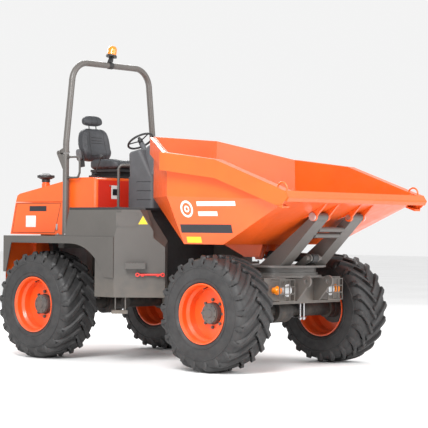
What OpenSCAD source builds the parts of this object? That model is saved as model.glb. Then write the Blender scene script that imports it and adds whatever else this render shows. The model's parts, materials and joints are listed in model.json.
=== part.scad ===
// Articulated swivel-tip site dumper, millimetres, +Z up, +X forward (skip end).
// Origin: on the ground, in the middle of the overall length, on the centreline.

/* [Overall] */
// Distance between the front and rear axles
wheelbase = 2500; // [2080:10:3000]
// Distance between the tyre centres of one axle
track = 1882; // [1840:2:2100]
// Front edge of the skip lip ahead of the front axle
lip_reach = 1084; // [1000:2:1300]
// Rear face of the counterweight behind the rear axle
tail_reach = 1014; // [920:2:1220]
// Overall width over the fenders
body_w = 2200; // [2100:10:2300]
// Top of the roll hoop above the ground
hoop_top = 3324; // [3100:2:3980]

/* [Wheels] */
// Outside diameter of the tyre
tyre_d = 1170; // [1100:5:1200]
// Section width of the tyre
tyre_w = 490; // [420:2:500]
// Diameter over the rim flanges
rim_flange_d = 605; // [560:1:640]
// Width over the rim flanges
rim_w = 450; // [400:2:460]
// Pitch circle of the wheel studs
stud_pcd = 275; // [230:1:320]
// Number of wheel studs
stud_count = 8; // [6:1:10]
// Diameter of a wheel stud
stud_d = 20; // [16:1:24]
// Diameter of the hub drum that stands out of the wheel disc
hub_d = 208; // [170:2:220]
// Diameter of the axle spindle
spindle_d = 120; // [80:2:140]

/* [Body] */
// Top of the fender ledge above the ground
ledge_z = 1335; // [1300:5:1400]
// Top of the operator's floor above the ground
floor_z = 1645; // [1600:5:1700]
// Underside of the side boxes above the ground
box_z = 700; // [640:5:760]
// Width of the engine enclosure and bonnet
hood_w = 1280; // [1150:10:1300]
// Top of the engine enclosure's lower half
seam_z = 1715; // [1680:5:1760]
// Thickness of the body sheet
sheet_t = 6; // [4:0.5:10]
// Diameter of the roll hoop's tube
hoop_d = 70; // [60:1:84]
// Distance between the roll hoop's two posts
hoop_w = 1388; // [1340:2:1420]
// Height of the roll hoop's fold joint
hoop_fold_z = 2262; // [2200:2:2330]

/* [Joints] */
// Articulation pin behind the front axle
pivot_back = 900; // [880:5:940]
// Height of the centre joint
joint_z = 700; // [680:2:740]
// Diameter of the articulation pin
pivot_pin_d = 80; // [60:1:100]
// Diameter of the oscillation shaft
osc_shaft_d = 140; // [110:1:160]
// Diameter of the slew ring
slew_d = 840; // [760:5:900]
// Tip hinge ahead of the front axle
hinge_reach = 790; // [760:2:820]
// Height of the tip hinge
hinge_z = 1555; // [1540:1:1558]
// Diameter of the tip hinge pins
hinge_pin_d = 56; // [44:1:60]
// Diameter of the drawbar holes in the front lugs
lug_hole_d = 50; // [40:1:64]

/* [Skip] */
// Width over the skip's side rails
skip_w = 2296; // [2200:2:2360]
// Rear wall of the skip behind the front axle
skip_back = 1320; // [1260:2:1330]
// Thickness of the skip plate
skip_t = 10; // [6:1:16]

/* [Hidden] */
$fn = 64;

// Radial clearance of every running fit
fit = 0.05;
// Face clearance between pieces that move past each other
gap = 1;
// Gap between fixed pieces that lie face to face
seat = 0.3;

// Axle positions along the machine
overall_l = tail_reach + wheelbase + lip_reach;
rear_x = tail_reach - overall_l / 2;
front_x = rear_x + wheelbase;
tail_x = rear_x - tail_reach;
lip_x = front_x + lip_reach;
axle_z = tyre_d / 2;
wheel_y = track / 2;
half_w = body_w / 2;

// Stations that other pieces line up with
pivot_x = front_x - pivot_back;
osc_x = pivot_x - 260;
fold_x = pivot_x - 420;
hoop_x = rear_x - 5;
base_front_x = rear_x + 420;
hood_front_x = rear_x - 80;
block_x = tail_x + 244;
box_rear_x = rear_x + 880;
hinge_x = front_x + hinge_reach;
back_half = 505;
swing_r = sqrt(pow(skip_back, 2) + pow(back_half, 2));
rail_deep = 40;
console_front_x = front_x - swing_r - rail_deep - 87;
floor_front_x = front_x - swing_r + 10;
skip_half = skip_w / 2;
wall_half = skip_half - 118;

// Slew joint levels, upwards from the front frame
frame_top = 937;
ring_z = 985;
table_z = 1060;

// Front beam, lift frame and ram stations
beam_x = front_x + 350;
beam_half = 620;
lug_x = beam_x + 186;
lug_z = 900;
arm_y0 = 200;
arm_y1 = 373;
arm_foot_x = front_x + 345;
ram_foot = [front_x + 470, 1135];
ram_head = [front_x - 190, 1160];
ram_d = 96;
rod_d = 56;

// Steering ram between the yoke and the front frame's tongue, on the right
steer_foot = [osc_x + 50, -260];
steer_head = [pivot_x + 260, -150];
steer_v = steer_head - steer_foot;
steer_l = norm(steer_v);
steer_a = atan2(steer_v[1], steer_v[0]);

module mirrored() {
    children();
    mirror([0, 1, 0]) children();
}

// Cylinder along X, Y or Z from one coordinate to another
module along_x(x0, x1, d) {
    translate([x0, 0, 0]) rotate([0, 90, 0]) cylinder(d = d, h = x1 - x0);
}
module along_y(y0, y1, d) {
    translate([0, y0, 0]) rotate([-90, 0, 0]) cylinder(d = d, h = y1 - y0);
}

// Block between two corners
module block(a, b) {
    translate(a) cube([b[0] - a[0], b[1] - a[1], b[2] - a[2]]);
}

// XZ outline made solid between two Y values
module plate_y(points, y0, y1) {
    translate([0, y1, 0]) rotate([90, 0, 0]) linear_extrude(y1 - y0) polygon(points);
}

// YZ outline made solid between two X values
module plate_x(points, x0, x1) {
    translate([x0, 0, 0]) rotate([90, 0, 90]) linear_extrude(x1 - x0) polygon(points);
}

// Straight round bar between two points, with round ends if asked
module bar(a, b, d, ends = false) {
    v = b - a;
    l = norm(v);
    translate(a)
        rotate([0, acos(v[2] / l), atan2(v[1], v[0])]) cylinder(d = d, h = l);
    if (ends) {
        translate(a) sphere(d = d + 1, $fn = 32);
        translate(b) sphere(d = d + 1, $fn = 32);
    }
}

// Row of round bars through a list of points
module bent_bar(points, d) {
    for (i = [1 : len(points) - 1]) bar(points[i - 1], points[i], d, true);
}

// Points of an arc in a plane
function arc(cx, cz, r, a0, a1, n) =
    [for (i = [0 : n]) let (a = a0 + (a1 - a0) * i / n) [cx + r * cos(a), cz + r * sin(a)]];

// ---- Wheels ----

rim_r = rim_flange_d / 2;
rim_half = rim_w / 2;
seat_r = rim_r - 16;
disc_y = rim_half - 190;
disc_t = 16;

module rim() {
    color("orangered") {
        rotate([-90, 0, 0]) rotate_extrude($fn = 96) polygon([
            [rim_r, rim_half], [rim_r, rim_half - 12], [seat_r, rim_half - 20],
            [seat_r - 2, rim_half - 82], [seat_r - 24, rim_half - 110],
            [seat_r - 24, -rim_half + 160], [seat_r - 2, -rim_half + 122],
            [seat_r, -rim_half + 20], [rim_r, -rim_half + 12], [rim_r, -rim_half],
            [rim_r - 12, -rim_half], [seat_r - 9, -rim_half + 22],
            [seat_r - 11, -rim_half + 120], [seat_r - 33, -rim_half + 156],
            [seat_r - 33, rim_half - 106], [seat_r - 11, rim_half - 78],
            [seat_r - 9, rim_half - 22], [rim_r - 12, rim_half]]);
        difference() {
            along_y(disc_y - disc_t / 2, disc_y + disc_t / 2, 2 * (seat_r - 30));
            along_y(disc_y - disc_t, disc_y + disc_t, hub_d + 13);
            for (i = [0 : stud_count - 1]) rotate([0, i * 360 / stud_count, 0])
                translate([stud_pcd / 2, 0, 0])
                    along_y(disc_y - disc_t, disc_y + disc_t, stud_d + 4);
        }
    }
}

module tyre() {
    bead = seat_r + 2;
    r = tyre_d / 2;
    h = tyre_w / 2;
    side = [[bead, 140], [bead, rim_half - 22], [rim_r + 2, rim_half - 16],
        [rim_r + 12, h - 13], [rim_r + 40, h - 2], [rim_r + 98, h], [r - 115, h - 3],
        [r - 62, h - 17], [r - 30, h - 42], [r - 11, h - 82], [r - 2, h - 155], [r, 0]];
    inner = [[r - 32, 0], [r - 34, h - 160], [r - 48, h - 88], [r - 72, h - 52],
        [r - 115, h - 25], [rim_r + 98, h - 20], [rim_r + 40, h - 24],
        [rim_r + 16, h - 55], [rim_r + 2, h - 90]];
    n = len(side) - 1;
    m = len(inner) - 1;
    color([0.13, 0.13, 0.14]) rotate([-90, 0, 0]) rotate_extrude($fn = 128)
        polygon(concat(side, [for (i = [1 : n]) [side[n - i][0], -side[n - i][1]]],
            [for (i = [0 : m - 1]) [inner[m - i][0], -inner[m - i][1]]], inner));
}

hub_in = -70;
hub_out = disc_y + 75;
flange_y = disc_y - disc_t / 2 - 18.3;

module hub() {
    nut = stud_d * 1.6;
    color("dimgray") difference() {
        union() {
            along_y(hub_in, hub_out - 12, hub_d);
            along_y(hub_out - 12, hub_out, hub_d - 16);
            along_y(flange_y, flange_y + 18, stud_pcd + 55);
            for (i = [0 : stud_count - 1]) rotate([0, i * 360 / stud_count, 0])
                translate([stud_pcd / 2, 0, 0]) {
                    along_y(flange_y, disc_y + 32, stud_d);
                    along_y(disc_y + disc_t / 2 + seat, disc_y + disc_t / 2 + 20, nut, $fn = 6);
                }
        }
        along_y(hub_in - 1, hub_out - 30, spindle_d + 2 * fit);
    }
}

// A wheel piece at an axle and on a side: -1 is the machine's right
module at_wheel(x, s) {
    translate([x, s * wheel_y, axle_z])
        if (s < 0) mirror([0, 1, 0]) children();
        else children();
}

module tyre_front_right() { at_wheel(front_x, -1) tyre(); }
module tyre_front_left() { at_wheel(front_x, 1) tyre(); }
module tyre_rear_right() { at_wheel(rear_x, -1) tyre(); }
module tyre_rear_left() { at_wheel(rear_x, 1) tyre(); }
module rim_front_right() { at_wheel(front_x, -1) rim(); }
module rim_front_left() { at_wheel(front_x, 1) rim(); }
module rim_rear_right() { at_wheel(rear_x, -1) rim(); }
module rim_rear_left() { at_wheel(rear_x, 1) rim(); }
module hub_front_right() { at_wheel(front_x, -1) hub(); }
module hub_front_left() { at_wheel(front_x, 1) hub(); }
module hub_rear_right() { at_wheel(rear_x, -1) hub(); }
module hub_rear_left() { at_wheel(rear_x, 1) hub(); }

// Axle beam with its differential housing and both spindles
module axle(x, diff_x) {
    end_y = wheel_y + hub_in - 8;
    translate([x, 0, axle_z]) {
        along_y(-end_y, end_y, 150);
        mirrored() along_y(end_y - 60, end_y, 200);
        mirrored() along_y(end_y - 1, wheel_y + hub_out - 40, spindle_d);
        along_y(-110, 110, 260);
        translate([0, 0, 0]) along_x(min(0, diff_x), max(0, diff_x), 150);
        mirrored() block([-90, 240, 40], [90, 330, frame_base - axle_z - seat]);
    }
}
frame_base = 690;

module rear_axle() { color([0.2, 0.2, 0.21]) axle(rear_x, 260); }
module front_axle() { color([0.2, 0.2, 0.21]) axle(front_x, -260); }

// ---- Rear unit ----

rail_y0 = 250;
rail_y1 = 320;

module rear_frame() {
    rear_end = block_x + seat;
    color([0.3, 0.29, 0.28]) difference() {
        union() {
            mirrored() block([rear_end, rail_y0, frame_base], [osc_x - 60, rail_y1, 880]);
            for (x = [rear_end, rear_x - 200, rear_x + 240, box_rear_x])
                block([x, -rail_y0 - 1, frame_base + 60], [x + 70, rail_y0 + 1, 860]);
            block([osc_x - 260, -rail_y0 - 1, 580], [osc_x, rail_y0 + 1, 840]);
            // Outriggers that carry the fenders and the hoop posts
            for (x = [hoop_x - 45, base_front_x + 60]) {
                mirrored() block([x, rail_y0, 870], [x + 90, rail_y1, 1205]);
                block([x, -hoop_w / 2 - 60, 1200], [x + 90, hoop_w / 2 + 60, 1256]);
            }
            // Brackets of the side boxes
            mirrored() block([box_rear_x + 60, rail_y1 - 1, 720], [osc_x - 120, 597, 800]);
        }
        along_bore();
    }
}

// Bore of the oscillation shaft
module along_bore() {
    translate([0, 0, joint_z]) along_x(osc_x - 261, osc_x + 1, osc_shaft_d + 2 * fit);
}

module counterweight() {
    x0 = rear_x - 575;
    color("orangered") difference() {
        translate([0, 0, 820]) linear_extrude(ledge_z - 12 - 820) polygon([
            [tail_x, -hood_w / 2 - 10], [rear_x - 660, -half_w + 110],
            [x0 - 20, -half_w + 30], [x0 - 20, half_w - 30], [rear_x - 660, half_w - 110],
            [tail_x, hood_w / 2 + 10]]);
        block([block_x, -520, 819], [0, 520, ledge_z]);
        mirrored() block([rear_x - 640, 519, 819], [0, half_w + 1, 925]);
        // Drawbar socket in the rear face
        translate([0, 0, 960]) along_x(tail_x - 1, tail_x + 121, 90);
        mirrored() block([x0 - 70, 600, 819], [0, half_w - 29, ledge_z - 90]);
    }
}

module fenders() {
    z0 = 930;
    x_rear = rear_x - 580;
    color([0.33, 0.32, 0.31]) mirrored() {
        difference() {
            block([x_rear, 60, ledge_z - 10], [fold_x, half_w, ledge_z]);
            block([tail_x, 0, 0], [base_front_x - 20, hood_w / 2 - 60, 3000]);
            block([base_front_x - 21, 0, 0], [fold_x + 1, 610, 3000]);
        }
        plate_y(concat([[x_rear, z0], [x_rear, ledge_z - 5], [fold_x, ledge_z - 5],
            [fold_x, 900], [fold_x - 57, 907]],
            arc(rear_x + 520, 700, 557, 22, 90, 8),
            [[rear_x - 450, 1257], [x_rear + 42, z0]]), half_w - 10, half_w);
        // Inner valance that closes the wheel arch towards the engine
        block([x_rear + 30, hood_w / 2 - 50, 1257],
            [box_rear_x - 10, hood_w / 2 - 44, ledge_z - 10 - seat]);
    }
}

// Tank box between the wheels on one side, waisted in towards the centre joint
waist_x = pivot_x - 50;
waist_y = 700;
box_in = 600;
module side_box_solid(o) {
    top = floor_z - 25 - seat - o;
    y_out = half_w - 12 - o;
    plan = [[box_rear_x + o, box_in + o], [box_rear_x + o, y_out - 12],
        [fold_x, y_out], [waist_x - o, waist_y], [waist_x - 60 - o, box_in + o]];
    intersection() {
        translate([0, 0, box_z + o]) linear_extrude(ledge_z - 10 - seat - box_z - 2 * o) polygon(plan);
        side_box_nose(o, top);
    }
    // Upper part with its outer face leaning inwards
    intersection() {
        plate_x([[box_in + o, ledge_z - 60], [y_out, ledge_z - 60], [y_out, ledge_z],
            [y_out - 58, top], [box_in + o, top]], fold_x + 0.5, waist_x);
        translate([0, 0, ledge_z - 60]) linear_extrude(400) polygon(plan);
        side_box_nose(o, top);
    }
    plate_x([[box_in + o, ledge_z + seat + o], [y_out, ledge_z + seat + o],
        [y_out - 58, top], [box_in + o, top]], base_front_x + o, fold_x + 0.6);
}

// Space left to the box by the skip's path as the machine steers
module side_box_nose(o, top) {
    plate_y([[box_rear_x, 0], [box_rear_x, top], [fold_x + 50 - o, top],
        [fold_x + 105 - o, top - 90], [waist_x - o, top - 392], [waist_x - o, 0]], 0, 791);
    plate_y([[box_rear_x, 0], [box_rear_x, top], [fold_x + 185 - o, top],
        [fold_x + 285 - o, top - 225], [fold_x + 285 - o, 0]], 790, half_w);
}

module side_box() {
    color([0.33, 0.32, 0.31]) difference() {
        side_box_solid(0);
        side_box_solid(sheet_t);
    }
}
module side_box_right() { mirror([0, 1, 0]) side_box(); }
module side_box_left() { side_box(); }

// Vertical plane of the waist panel, X along the panel from the fold line
waist_a = atan2(half_w - 12 - waist_y, waist_x - fold_x);
module on_waist(s) {
    mirror([0, s < 0 ? 1 : 0, 0]) translate([fold_x, half_w - 12 + 0.6, 0])
        rotate([0, 0, -waist_a]) children();
}

module steps() {
    color([0.36, 0.35, 0.34]) for (s = [-1, 1]) {
        // Toothed step on the waist panel
        on_waist(s) {
            difference() {
                block([120, 0, 1000], [330, 90, 1062]);
                block([126, -1, 999], [324, 84, 1056]);
                for (i = [0 : 5]) translate([137 + i * 34, 42, 1050]) cylinder(d = 22, h = 20);
            }
            for (i = [0 : 6]) block([121 + i * 33, 80, 1061], [132 + i * 33, 90, 1073]);
        }
        // Hung step below the box
        on_waist(s) {
            for (x = [14, 120]) block([x, -60, 560], [x + 12, -30, box_z - 0.5]);
            difference() {
                block([-20, -95, 530], [150, 25, 566]);
                block([-14, -89, 529], [144, 19, 560]);
                for (i = [0 : 3]) translate([4 + i * 40, -35, 550]) cylinder(d = 26, h = 30);
            }
        }
    }
}

module platform() {
    y_box = half_w - 74;
    color([0.3, 0.3, 0.3]) {
        translate([0, 0, floor_z - 25]) linear_extrude(25) polygon([
            [base_front_x + 1, -y_box], [fold_x, -y_box], [fold_x + 190, -y_box + 210],
            [floor_front_x, -560], [floor_front_x, 560], [fold_x + 190, y_box - 210],
            [fold_x, y_box], [base_front_x + 1, y_box]]);
        block([base_front_x + 40, -590, floor_z - 85], [floor_front_x - 20, 590, floor_z - 24]);
        // Bulkhead between the side boxes
        block([floor_front_x - 40, -590, 905], [floor_front_x - 30, 590, floor_z - 80]);
    }
}

module rounded_plan(x0, x1, half, r) {
    hull() for (x = [x0 + r, x1 - r]) for (s = [-1, 1])
        translate([x, s * (half - r)]) circle(r = r, $fn = 32);
}

base_top = floor_z + 340;
module seat_base() {
    z0 = ledge_z + 12;
    top = base_top;
    module shell(o) {
        intersection() {
            translate([0, 0, z0 - 1]) linear_extrude(800)
                rounded_plan(hood_front_x - 100, base_front_x - o, hood_w / 2 - o, 60);
            plate_y([[hood_front_x + 6, z0 - o], [hood_front_x + 6, top - o],
                [base_front_x - 60, top - o], [base_front_x, top - 20 - o],
                [base_front_x, z0 - o]], -hood_w, hood_w);
        }
    }
    color([0.93, 0.24, 0.1]) difference() {
        shell(0);
        difference() {
            shell(sheet_t);
            block([hood_front_x + 5, -hood_w, floor_z + 200], [hood_front_x + 12, hood_w, 2100]);
        }
        block([hood_front_x, -hood_w / 2 + sheet_t, z0 - 2],
            [hood_front_x + 20, hood_w / 2 - sheet_t, floor_z + 270]);
    }
    // Lugs of the bonnet's hinge rod
    mirrored() difference() {
        block([hood_front_x - 12, 404, seam_z + 223], [hood_front_x + 7, 410, seam_z + 247]);
        translate([hood_front_x, 0, seam_z + 235]) along_y(403, 411, 10 + 2 * fit);
    }
}

module engine_enclosure() {
    z0 = ledge_z + 12;
    h = hood_w / 2;
    module shell(o) {
        plate_y([[tail_x + 12 + o, z0 - 2 * o], [tail_x + 100 + o, seam_z + o - 3],
            [hood_front_x + o, seam_z + o - 3], [hood_front_x + o, z0 - 2 * o]],
            -h + o, h - o);
    }
    color("darkorange") difference() {
        shell(0);
        shell(sheet_t);
    }
}

module bonnet() {
    z0 = seam_z + 3;
    h = hood_w / 2;
    module shell(o) {
        plate_y([[tail_x + 102 + o, z0 - 2 * o], [tail_x + 128 + o, z0 + 72 - o],
            [tail_x + 170 + o, z0 + 95 - o], [hood_front_x - o, z0 + 232 - o],
            [hood_front_x - o, z0 - 2 * o]], -h + o, h - o);
    }
    color("darkorange") difference() {
        shell(0);
        shell(sheet_t);
        // Cooling slots in the rear slope
        for (i = [-5 : 5]) block([tail_x + 60, i * 70 - 20, z0 + 25], [tail_x + 160, i * 70 + 20, z0 + 50]);
        // Slots for the hinge lugs
        mirrored() block([hood_front_x - 26, 400, z0 + 206], [hood_front_x + 6, 414, z0 + 240]);
    }
    translate([hood_front_x, 0, z0 + 232]) along_y(-418, 418, 10);
}

intake_x = rear_x - 665;
intake_y = -400;
module intake_pipe() {
    color("orangered") difference() {
        translate([intake_x, intake_y, seam_z + 90]) {
            cylinder(d = 96, h = 130);
            translate([0, 0, 130]) cylinder(d = 84, h = 14);
        }
        plate_y([[tail_x + 170, seam_z], [tail_x + 170, seam_z + 98 + seat],
            [hood_front_x, seam_z + 235 + seat], [hood_front_x, seam_z]], -hood_w / 2, 0);
    }
}
module precleaner() {
    color([0.12, 0.12, 0.13]) translate([intake_x, intake_y, seam_z + 235]) {
        cylinder(d = 96, h = 34);
        translate([0, 0, 34]) cylinder(d1 = 120, d2 = 196, h = 18);
        translate([0, 0, 52]) cylinder(d = 200, h = 26);
        translate([0, 0, 78]) cylinder(d1 = 196, d2 = 90, h = 22);
    }
}

module engine() {
    color([0.45, 0.46, 0.47]) {
        block([rear_x - 640, -210, 930], [rear_x - 80, 210, 1360]);
        block([rear_x - 620, -180, 1359], [rear_x - 100, 180, 1560]);
        block([rear_x - 560, -140, 895], [rear_x - 160, 140, 931]);
        translate([0, 0, 1180]) along_x(rear_x - 700, rear_x - 639, 240);
        translate([0, 0, 1250]) along_x(rear_x - 760, rear_x - 699, 520);
        // Radiator
        block([rear_x - 870, -430, 1345], [rear_x - 790, 430, 1690]);
        block([rear_x - 860, -300, ledge_z - 7], [rear_x - 800, 300, 1346]);
        block([rear_x - 791, -250, 1346], [rear_x - 759, 250, 1500]);
        // Gearbox behind the operator's floor
        block([rear_x - 81, -170, 905], [rear_x + 330, 170, 1180]);
    }
}

// ---- Roll hoop ----

top_half = hoop_w / 2 - 105;
bar_z = hoop_top - hoop_d / 2;
kink_z = hoop_fold_z + 112;
lean = atan2(hoop_w / 2 - top_half, bar_z - kink_z);
bend_r = 230;
kink_r = 400;
bend_t = bend_r * tan((90 - lean) / 2);

module rops_posts() {
    color([0.42, 0.41, 0.4]) mirrored() {
        translate([hoop_x, hoop_w / 2, 0]) {
            difference() {
                translate([0, 0, ledge_z + seat]) cylinder(d = hoop_d, h = hoop_fold_z - 6 - ledge_z);
                translate([0, 0, ledge_z + 15]) cylinder(d = hoop_d - 12, h = hoop_fold_z - 36 - ledge_z);
            }
            block([-80, hoop_d / 2 - 75, ledge_z + seat], [90, 85, ledge_z + 14]);
            // Gusset in front of the foot
            plate_y([[30, ledge_z + 13], [88, ledge_z + 13], [34, ledge_z + 190]], -5, 5);
            // Bracket of the fold joint
            for (y = [-27, 15]) plate_y(concat(
                [[-20, hoop_fold_z - 190], [-20, hoop_fold_z - 30]],
                arc(-100, hoop_fold_z, 26, -20, 200, 8)), y, y + 12);
        }
    }
    // Fold pins
    color("silver") mirrored() translate([hoop_x - 100, 0, hoop_fold_z])
        along_y(hoop_w / 2 - 34, hoop_w / 2 + 34, 20);
}

// Quarter or less of a tube bend in the YZ plane, from angle a0 to a1 about its centre
module bend_yz(cy, cz, r, d, a0, a1) {
    translate([hoop_x, cy, cz]) rotate([90, 0, 90]) rotate([0, 0, a0])
        rotate_extrude(angle = a1 - a0) translate([r, 0]) circle(d = d);
}

// Half of the hoop tube as a solid of diameter d, with a weld band at each bend's ends
module hoop_half(d, z_low) {
    dir = [0, -sin(lean), cos(lean)];
    up = [0, 0, 4];
    corner = [hoop_x, top_half, bar_z];
    turn = kink_r * tan(lean / 2);
    low = [hoop_x, hoop_w / 2, kink_z - turn];
    mid = [hoop_x, hoop_w / 2, kink_z] + turn * dir;
    high = corner - bend_t * dir;
    bar([hoop_x, hoop_w / 2, z_low], low, d);
    bar(low - up, low + up, d + 2);
    bend_yz(hoop_w / 2 - kink_r, kink_z - turn, kink_r, d, 0, lean);
    bar(mid - 4 * dir, mid + 4 * dir, d + 2);
    bar(mid, high, d);
    bar(high - 4 * dir, high + 4 * dir, d + 2);
    bend_yz(top_half - bend_t, bar_z - bend_r, bend_r, d, lean, 90);
    translate([hoop_x, 0, bar_z]) along_y(top_half - bend_t - 4, top_half - bend_t + 4, d + 2);
}

module rops_hoop() {
    color([0.42, 0.41, 0.4]) {
        difference() {
            union() {
                mirrored() hoop_half(hoop_d, hoop_fold_z);
                translate([hoop_x, 0, bar_z]) along_y(bend_t - top_half, top_half - bend_t, hoop_d);
            }
            mirrored() hoop_half(hoop_d - 12, hoop_fold_z + 8);
            translate([hoop_x, 0, bar_z]) along_y(bend_t - top_half, top_half - bend_t, hoop_d - 12);
        }
        // Collars and lugs that turn on the fold pins
        mirrored() translate([hoop_x, hoop_w / 2, hoop_fold_z]) {
            cylinder(d = hoop_d + 12, h = 16);
            difference() {
                plate_y(concat([[-20, 2], [-20, 60], [-96, 30]], arc(-100, 0, 26, 90, 270, 8),
                    [[-86, -22], [-74, 2]]), -13, 13);
                translate([-100, 0, 0]) along_y(-14, 14, 20 + 2 * fit);
            }
        }
    }
}

module beacon_bracket() {
    color([0.2, 0.2, 0.21]) translate([hoop_x, -28, bar_z]) {
        translate([0, 0, 0]) difference() {
            along_y(-30, 30, hoop_d + 10);
            along_y(-31, 31, hoop_d + 2 * seat);
        }
        plate_x([[-18, 38], [18, 38], [30, 100], [16, 104]], -30, 30);
        translate([0, 20, 102]) rotate([-12, 0, 0]) cylinder(d1 = 130, d2 = 120, h = 22);
    }
}
module beacon_lens() {
    color([1, 0.6, 0.1]) translate([hoop_x, -28, bar_z]) translate([0, 20, 102])
        rotate([-12, 0, 0]) translate([0, 0, 22 + seat]) {
            cylinder(d = 104, h = 62);
            translate([0, 0, 62]) intersection() {
                sphere(d = 104);
                cylinder(d = 104, h = 40);
            }
        }
}

// Bent round bar in the XZ plane through points, with bends of radius r at the inner ones
module rail_xz(points, d, r) {
    n = len(points) - 1;
    function cut(i) = i == 0 || i == n ? 0 :
        r * abs(tan(turn_at(i) / 2));
    function heading(i) = atan2(points[i + 1][1] - points[i][1], points[i + 1][0] - points[i][0]);
    function wrap(a) = a > 180 ? a - 360 : a < -180 ? a + 360 : a;
    function turn_at(i) = wrap(heading(i) - heading(i - 1));
    for (i = [0 : n - 1]) {
        v = points[i + 1] - points[i];
        u = v / norm(v);
        translate([points[i][0] + u[0] * cut(i), 0, points[i][1] + u[1] * cut(i)])
            rotate([0, 90 - heading(i), 0])
                cylinder(d = d, h = norm(v) - cut(i) - cut(i + 1));
    }
    for (i = [1 : n - 1]) {
        s = turn_at(i) > 0 ? 1 : -1;
        h = heading(i - 1);
        u = [cos(h), sin(h)];
        c = points[i] - u * cut(i) + s * r * [-sin(h), cos(h)];
        translate([c[0], 0, c[1]]) rotate([90, 0, 0])
            rotate([0, 0, s > 0 ? h - 90 : h + 90 + turn_at(i)])
                rotate_extrude(angle = abs(turn_at(i))) translate([r, 0]) circle(d = d);
        // Weld bands at both ends of the bend
        for (e = [0, 1]) {
            g = heading(i - 1 + e);
            q = points[i] + (e * 2 - 1) * cut(i) * [cos(g), sin(g)];
            translate([q[0], 0, q[1]]) rotate([0, 90 - g, 0])
                translate([0, 0, -2]) cylinder(d = d + 2, h = 4);
        }
    }
}

// Guard loops beside the hoop posts and grab rails at the entry
module grab_rails() {
    x0 = hoop_x + hoop_d / 2 + 10;
    x1 = base_front_x + 340;
    color([0.25, 0.25, 0.25]) mirrored() {
        translate([0, hoop_w / 2, 0]) rail_xz([[x0, 2213], [hoop_x + 205, 2213],
            [hoop_x + 225, 2150], [hoop_x + 225, 2040], [hoop_x + 200, 1984], [x0, 1984]], 24, 24);
        for (z = [1984, 2213]) translate([0, hoop_w / 2, z])
            along_x(hoop_x + hoop_d / 2 + seat, x0 + 2, 40);
        translate([x1, 620, 0]) rotate([0, 0, -52]) translate([-x1, 0, 0])
            rail_xz([[x1, floor_z + 10], [x1, 2110], [x1 + 120, 2110]], 30, 50);
        translate([x1, 620, floor_z + seat]) cylinder(d = 70, h = 12);
    }
}

module access_cover() {
    color([0.3, 0.28, 0.27]) on_waist(-1) {
        block([20, 0, 1440], [250, 4, 1590]);
        for (x = [38, 232]) for (z = [1458, 1572]) translate([x, 0, z])
            along_y(3.9, 12, 18, $fn = 6);
    }
}

// Bar that locks the articulation for transport, stowed in two clips
module lock_bar() {
    z = 940;
    color("red") on_waist(-1) translate([0, 34, z]) {
        along_x(262, 498, 22);
        for (x = [248, 512]) translate([x, 0, 0]) difference() {
            along_y(-13, 13, 44);
            along_y(-14, 14, 20);
        }
    }
    color([0.1, 0.1, 0.1]) on_waist(-1) for (x = [290, 450]) difference() {
        block([x, 0, z - 18], [x + 24, 48, z + 4]);
        translate([0, 34, z]) along_x(x - 1, x + 25, 22.6);
    }
}

// ---- Operator's station ----

console_half = 300;
wheel_x = rear_x + 473;
wheel_z = 2410;
column_a = 33;

module console() {
    x0 = base_front_x + 150;
    x1 = console_front_x;
    color([0.45, 0.46, 0.48]) {
        difference() {
            hull() for (x = [x0 + 40, x1 - 40]) for (s = [-1, 1])
                translate([x, s * (console_half - 40), floor_z + seat]) cylinder(r = 40, h = 350, $fn = 32);
            // Louvres in both cheeks and the footwell
            for (s = [-1, 1]) for (z = [floor_z + 90, floor_z + 190, floor_z + 290])
                translate([0, s * console_half, z]) along_x(x0 + 150, x1 - 20, 16);
            block([x0 - 1, -200, floor_z - 1], [x0 + 350, 200, floor_z + 300]);
        }
        // Cheeks that carry the pedals
        for (y = pedal_ys) for (s = [-1, 1]) difference() {
            block([pedal_x - 22, y + s * 47 - 5, floor_z + seat], [pedal_x + 22, y + s * 47 + 5, floor_z + 48]);
            translate([pedal_x, 0, floor_z + 28]) along_y(y - 60, y + 60, 16 + 2 * fit);
        }
        // Lower lobe towards the operator and higher hood over the column
        hull() for (s = [-1, 1]) {
            translate([x0 + 40, s * (console_half - 45), 2240]) sphere(r = 40, $fn = 32);
            translate([x0 + 150, s * (console_half - 45), 2262]) sphere(r = 40, $fn = 32);
            translate([x0 + 60, s * (console_half - 40), floor_z + 340]) cylinder(r = 40, h = 10, $fn = 32);
            translate([x1 - 60, s * (console_half - 45), floor_z + 340]) cylinder(r = 40, h = 10, $fn = 32);
        }
        hull() for (s = [-1, 1]) {
            translate([x0 + 215, s * 150, 2300]) sphere(r = 50, $fn = 32);
            translate([x1 - 62, s * 150, 2338]) sphere(r = 50, $fn = 32);
            translate([x0 + 200, s * 230, 2020]) sphere(r = 50, $fn = 32);
            translate([x1 - 52, s * 230, 2020]) sphere(r = 50, $fn = 32);
        }
    }
    // Steering column
    color([0.12, 0.12, 0.13]) translate([wheel_x, 0, wheel_z]) rotate([0, -column_a, 0])
        difference() {
            translate([0, 0, -260]) cylinder(d = 60, h = 230);
            translate([0, 0, -60]) cylinder(d = 22 + 2 * fit, h = 40);
        }
}

module steering_wheel() {
    translate([wheel_x, 0, wheel_z]) rotate([0, -column_a, 0]) {
        color([0.1, 0.1, 0.1]) {
            rotate_extrude($fn = 96) translate([148, 0]) circle(d = 24, $fn = 24);
            for (a = [0, 120, 240]) rotate([0, 0, a]) along_x(20, 148, 14);
            translate([0, 0, -20]) cylinder(d = 56, h = 40);
            translate([0, 0, -58]) cylinder(d = 22, h = 40);
        }
        // Spinner knob
        color("red") translate([0, 0, 20]) cylinder(d = 34, h = 26);
    }
}

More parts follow.
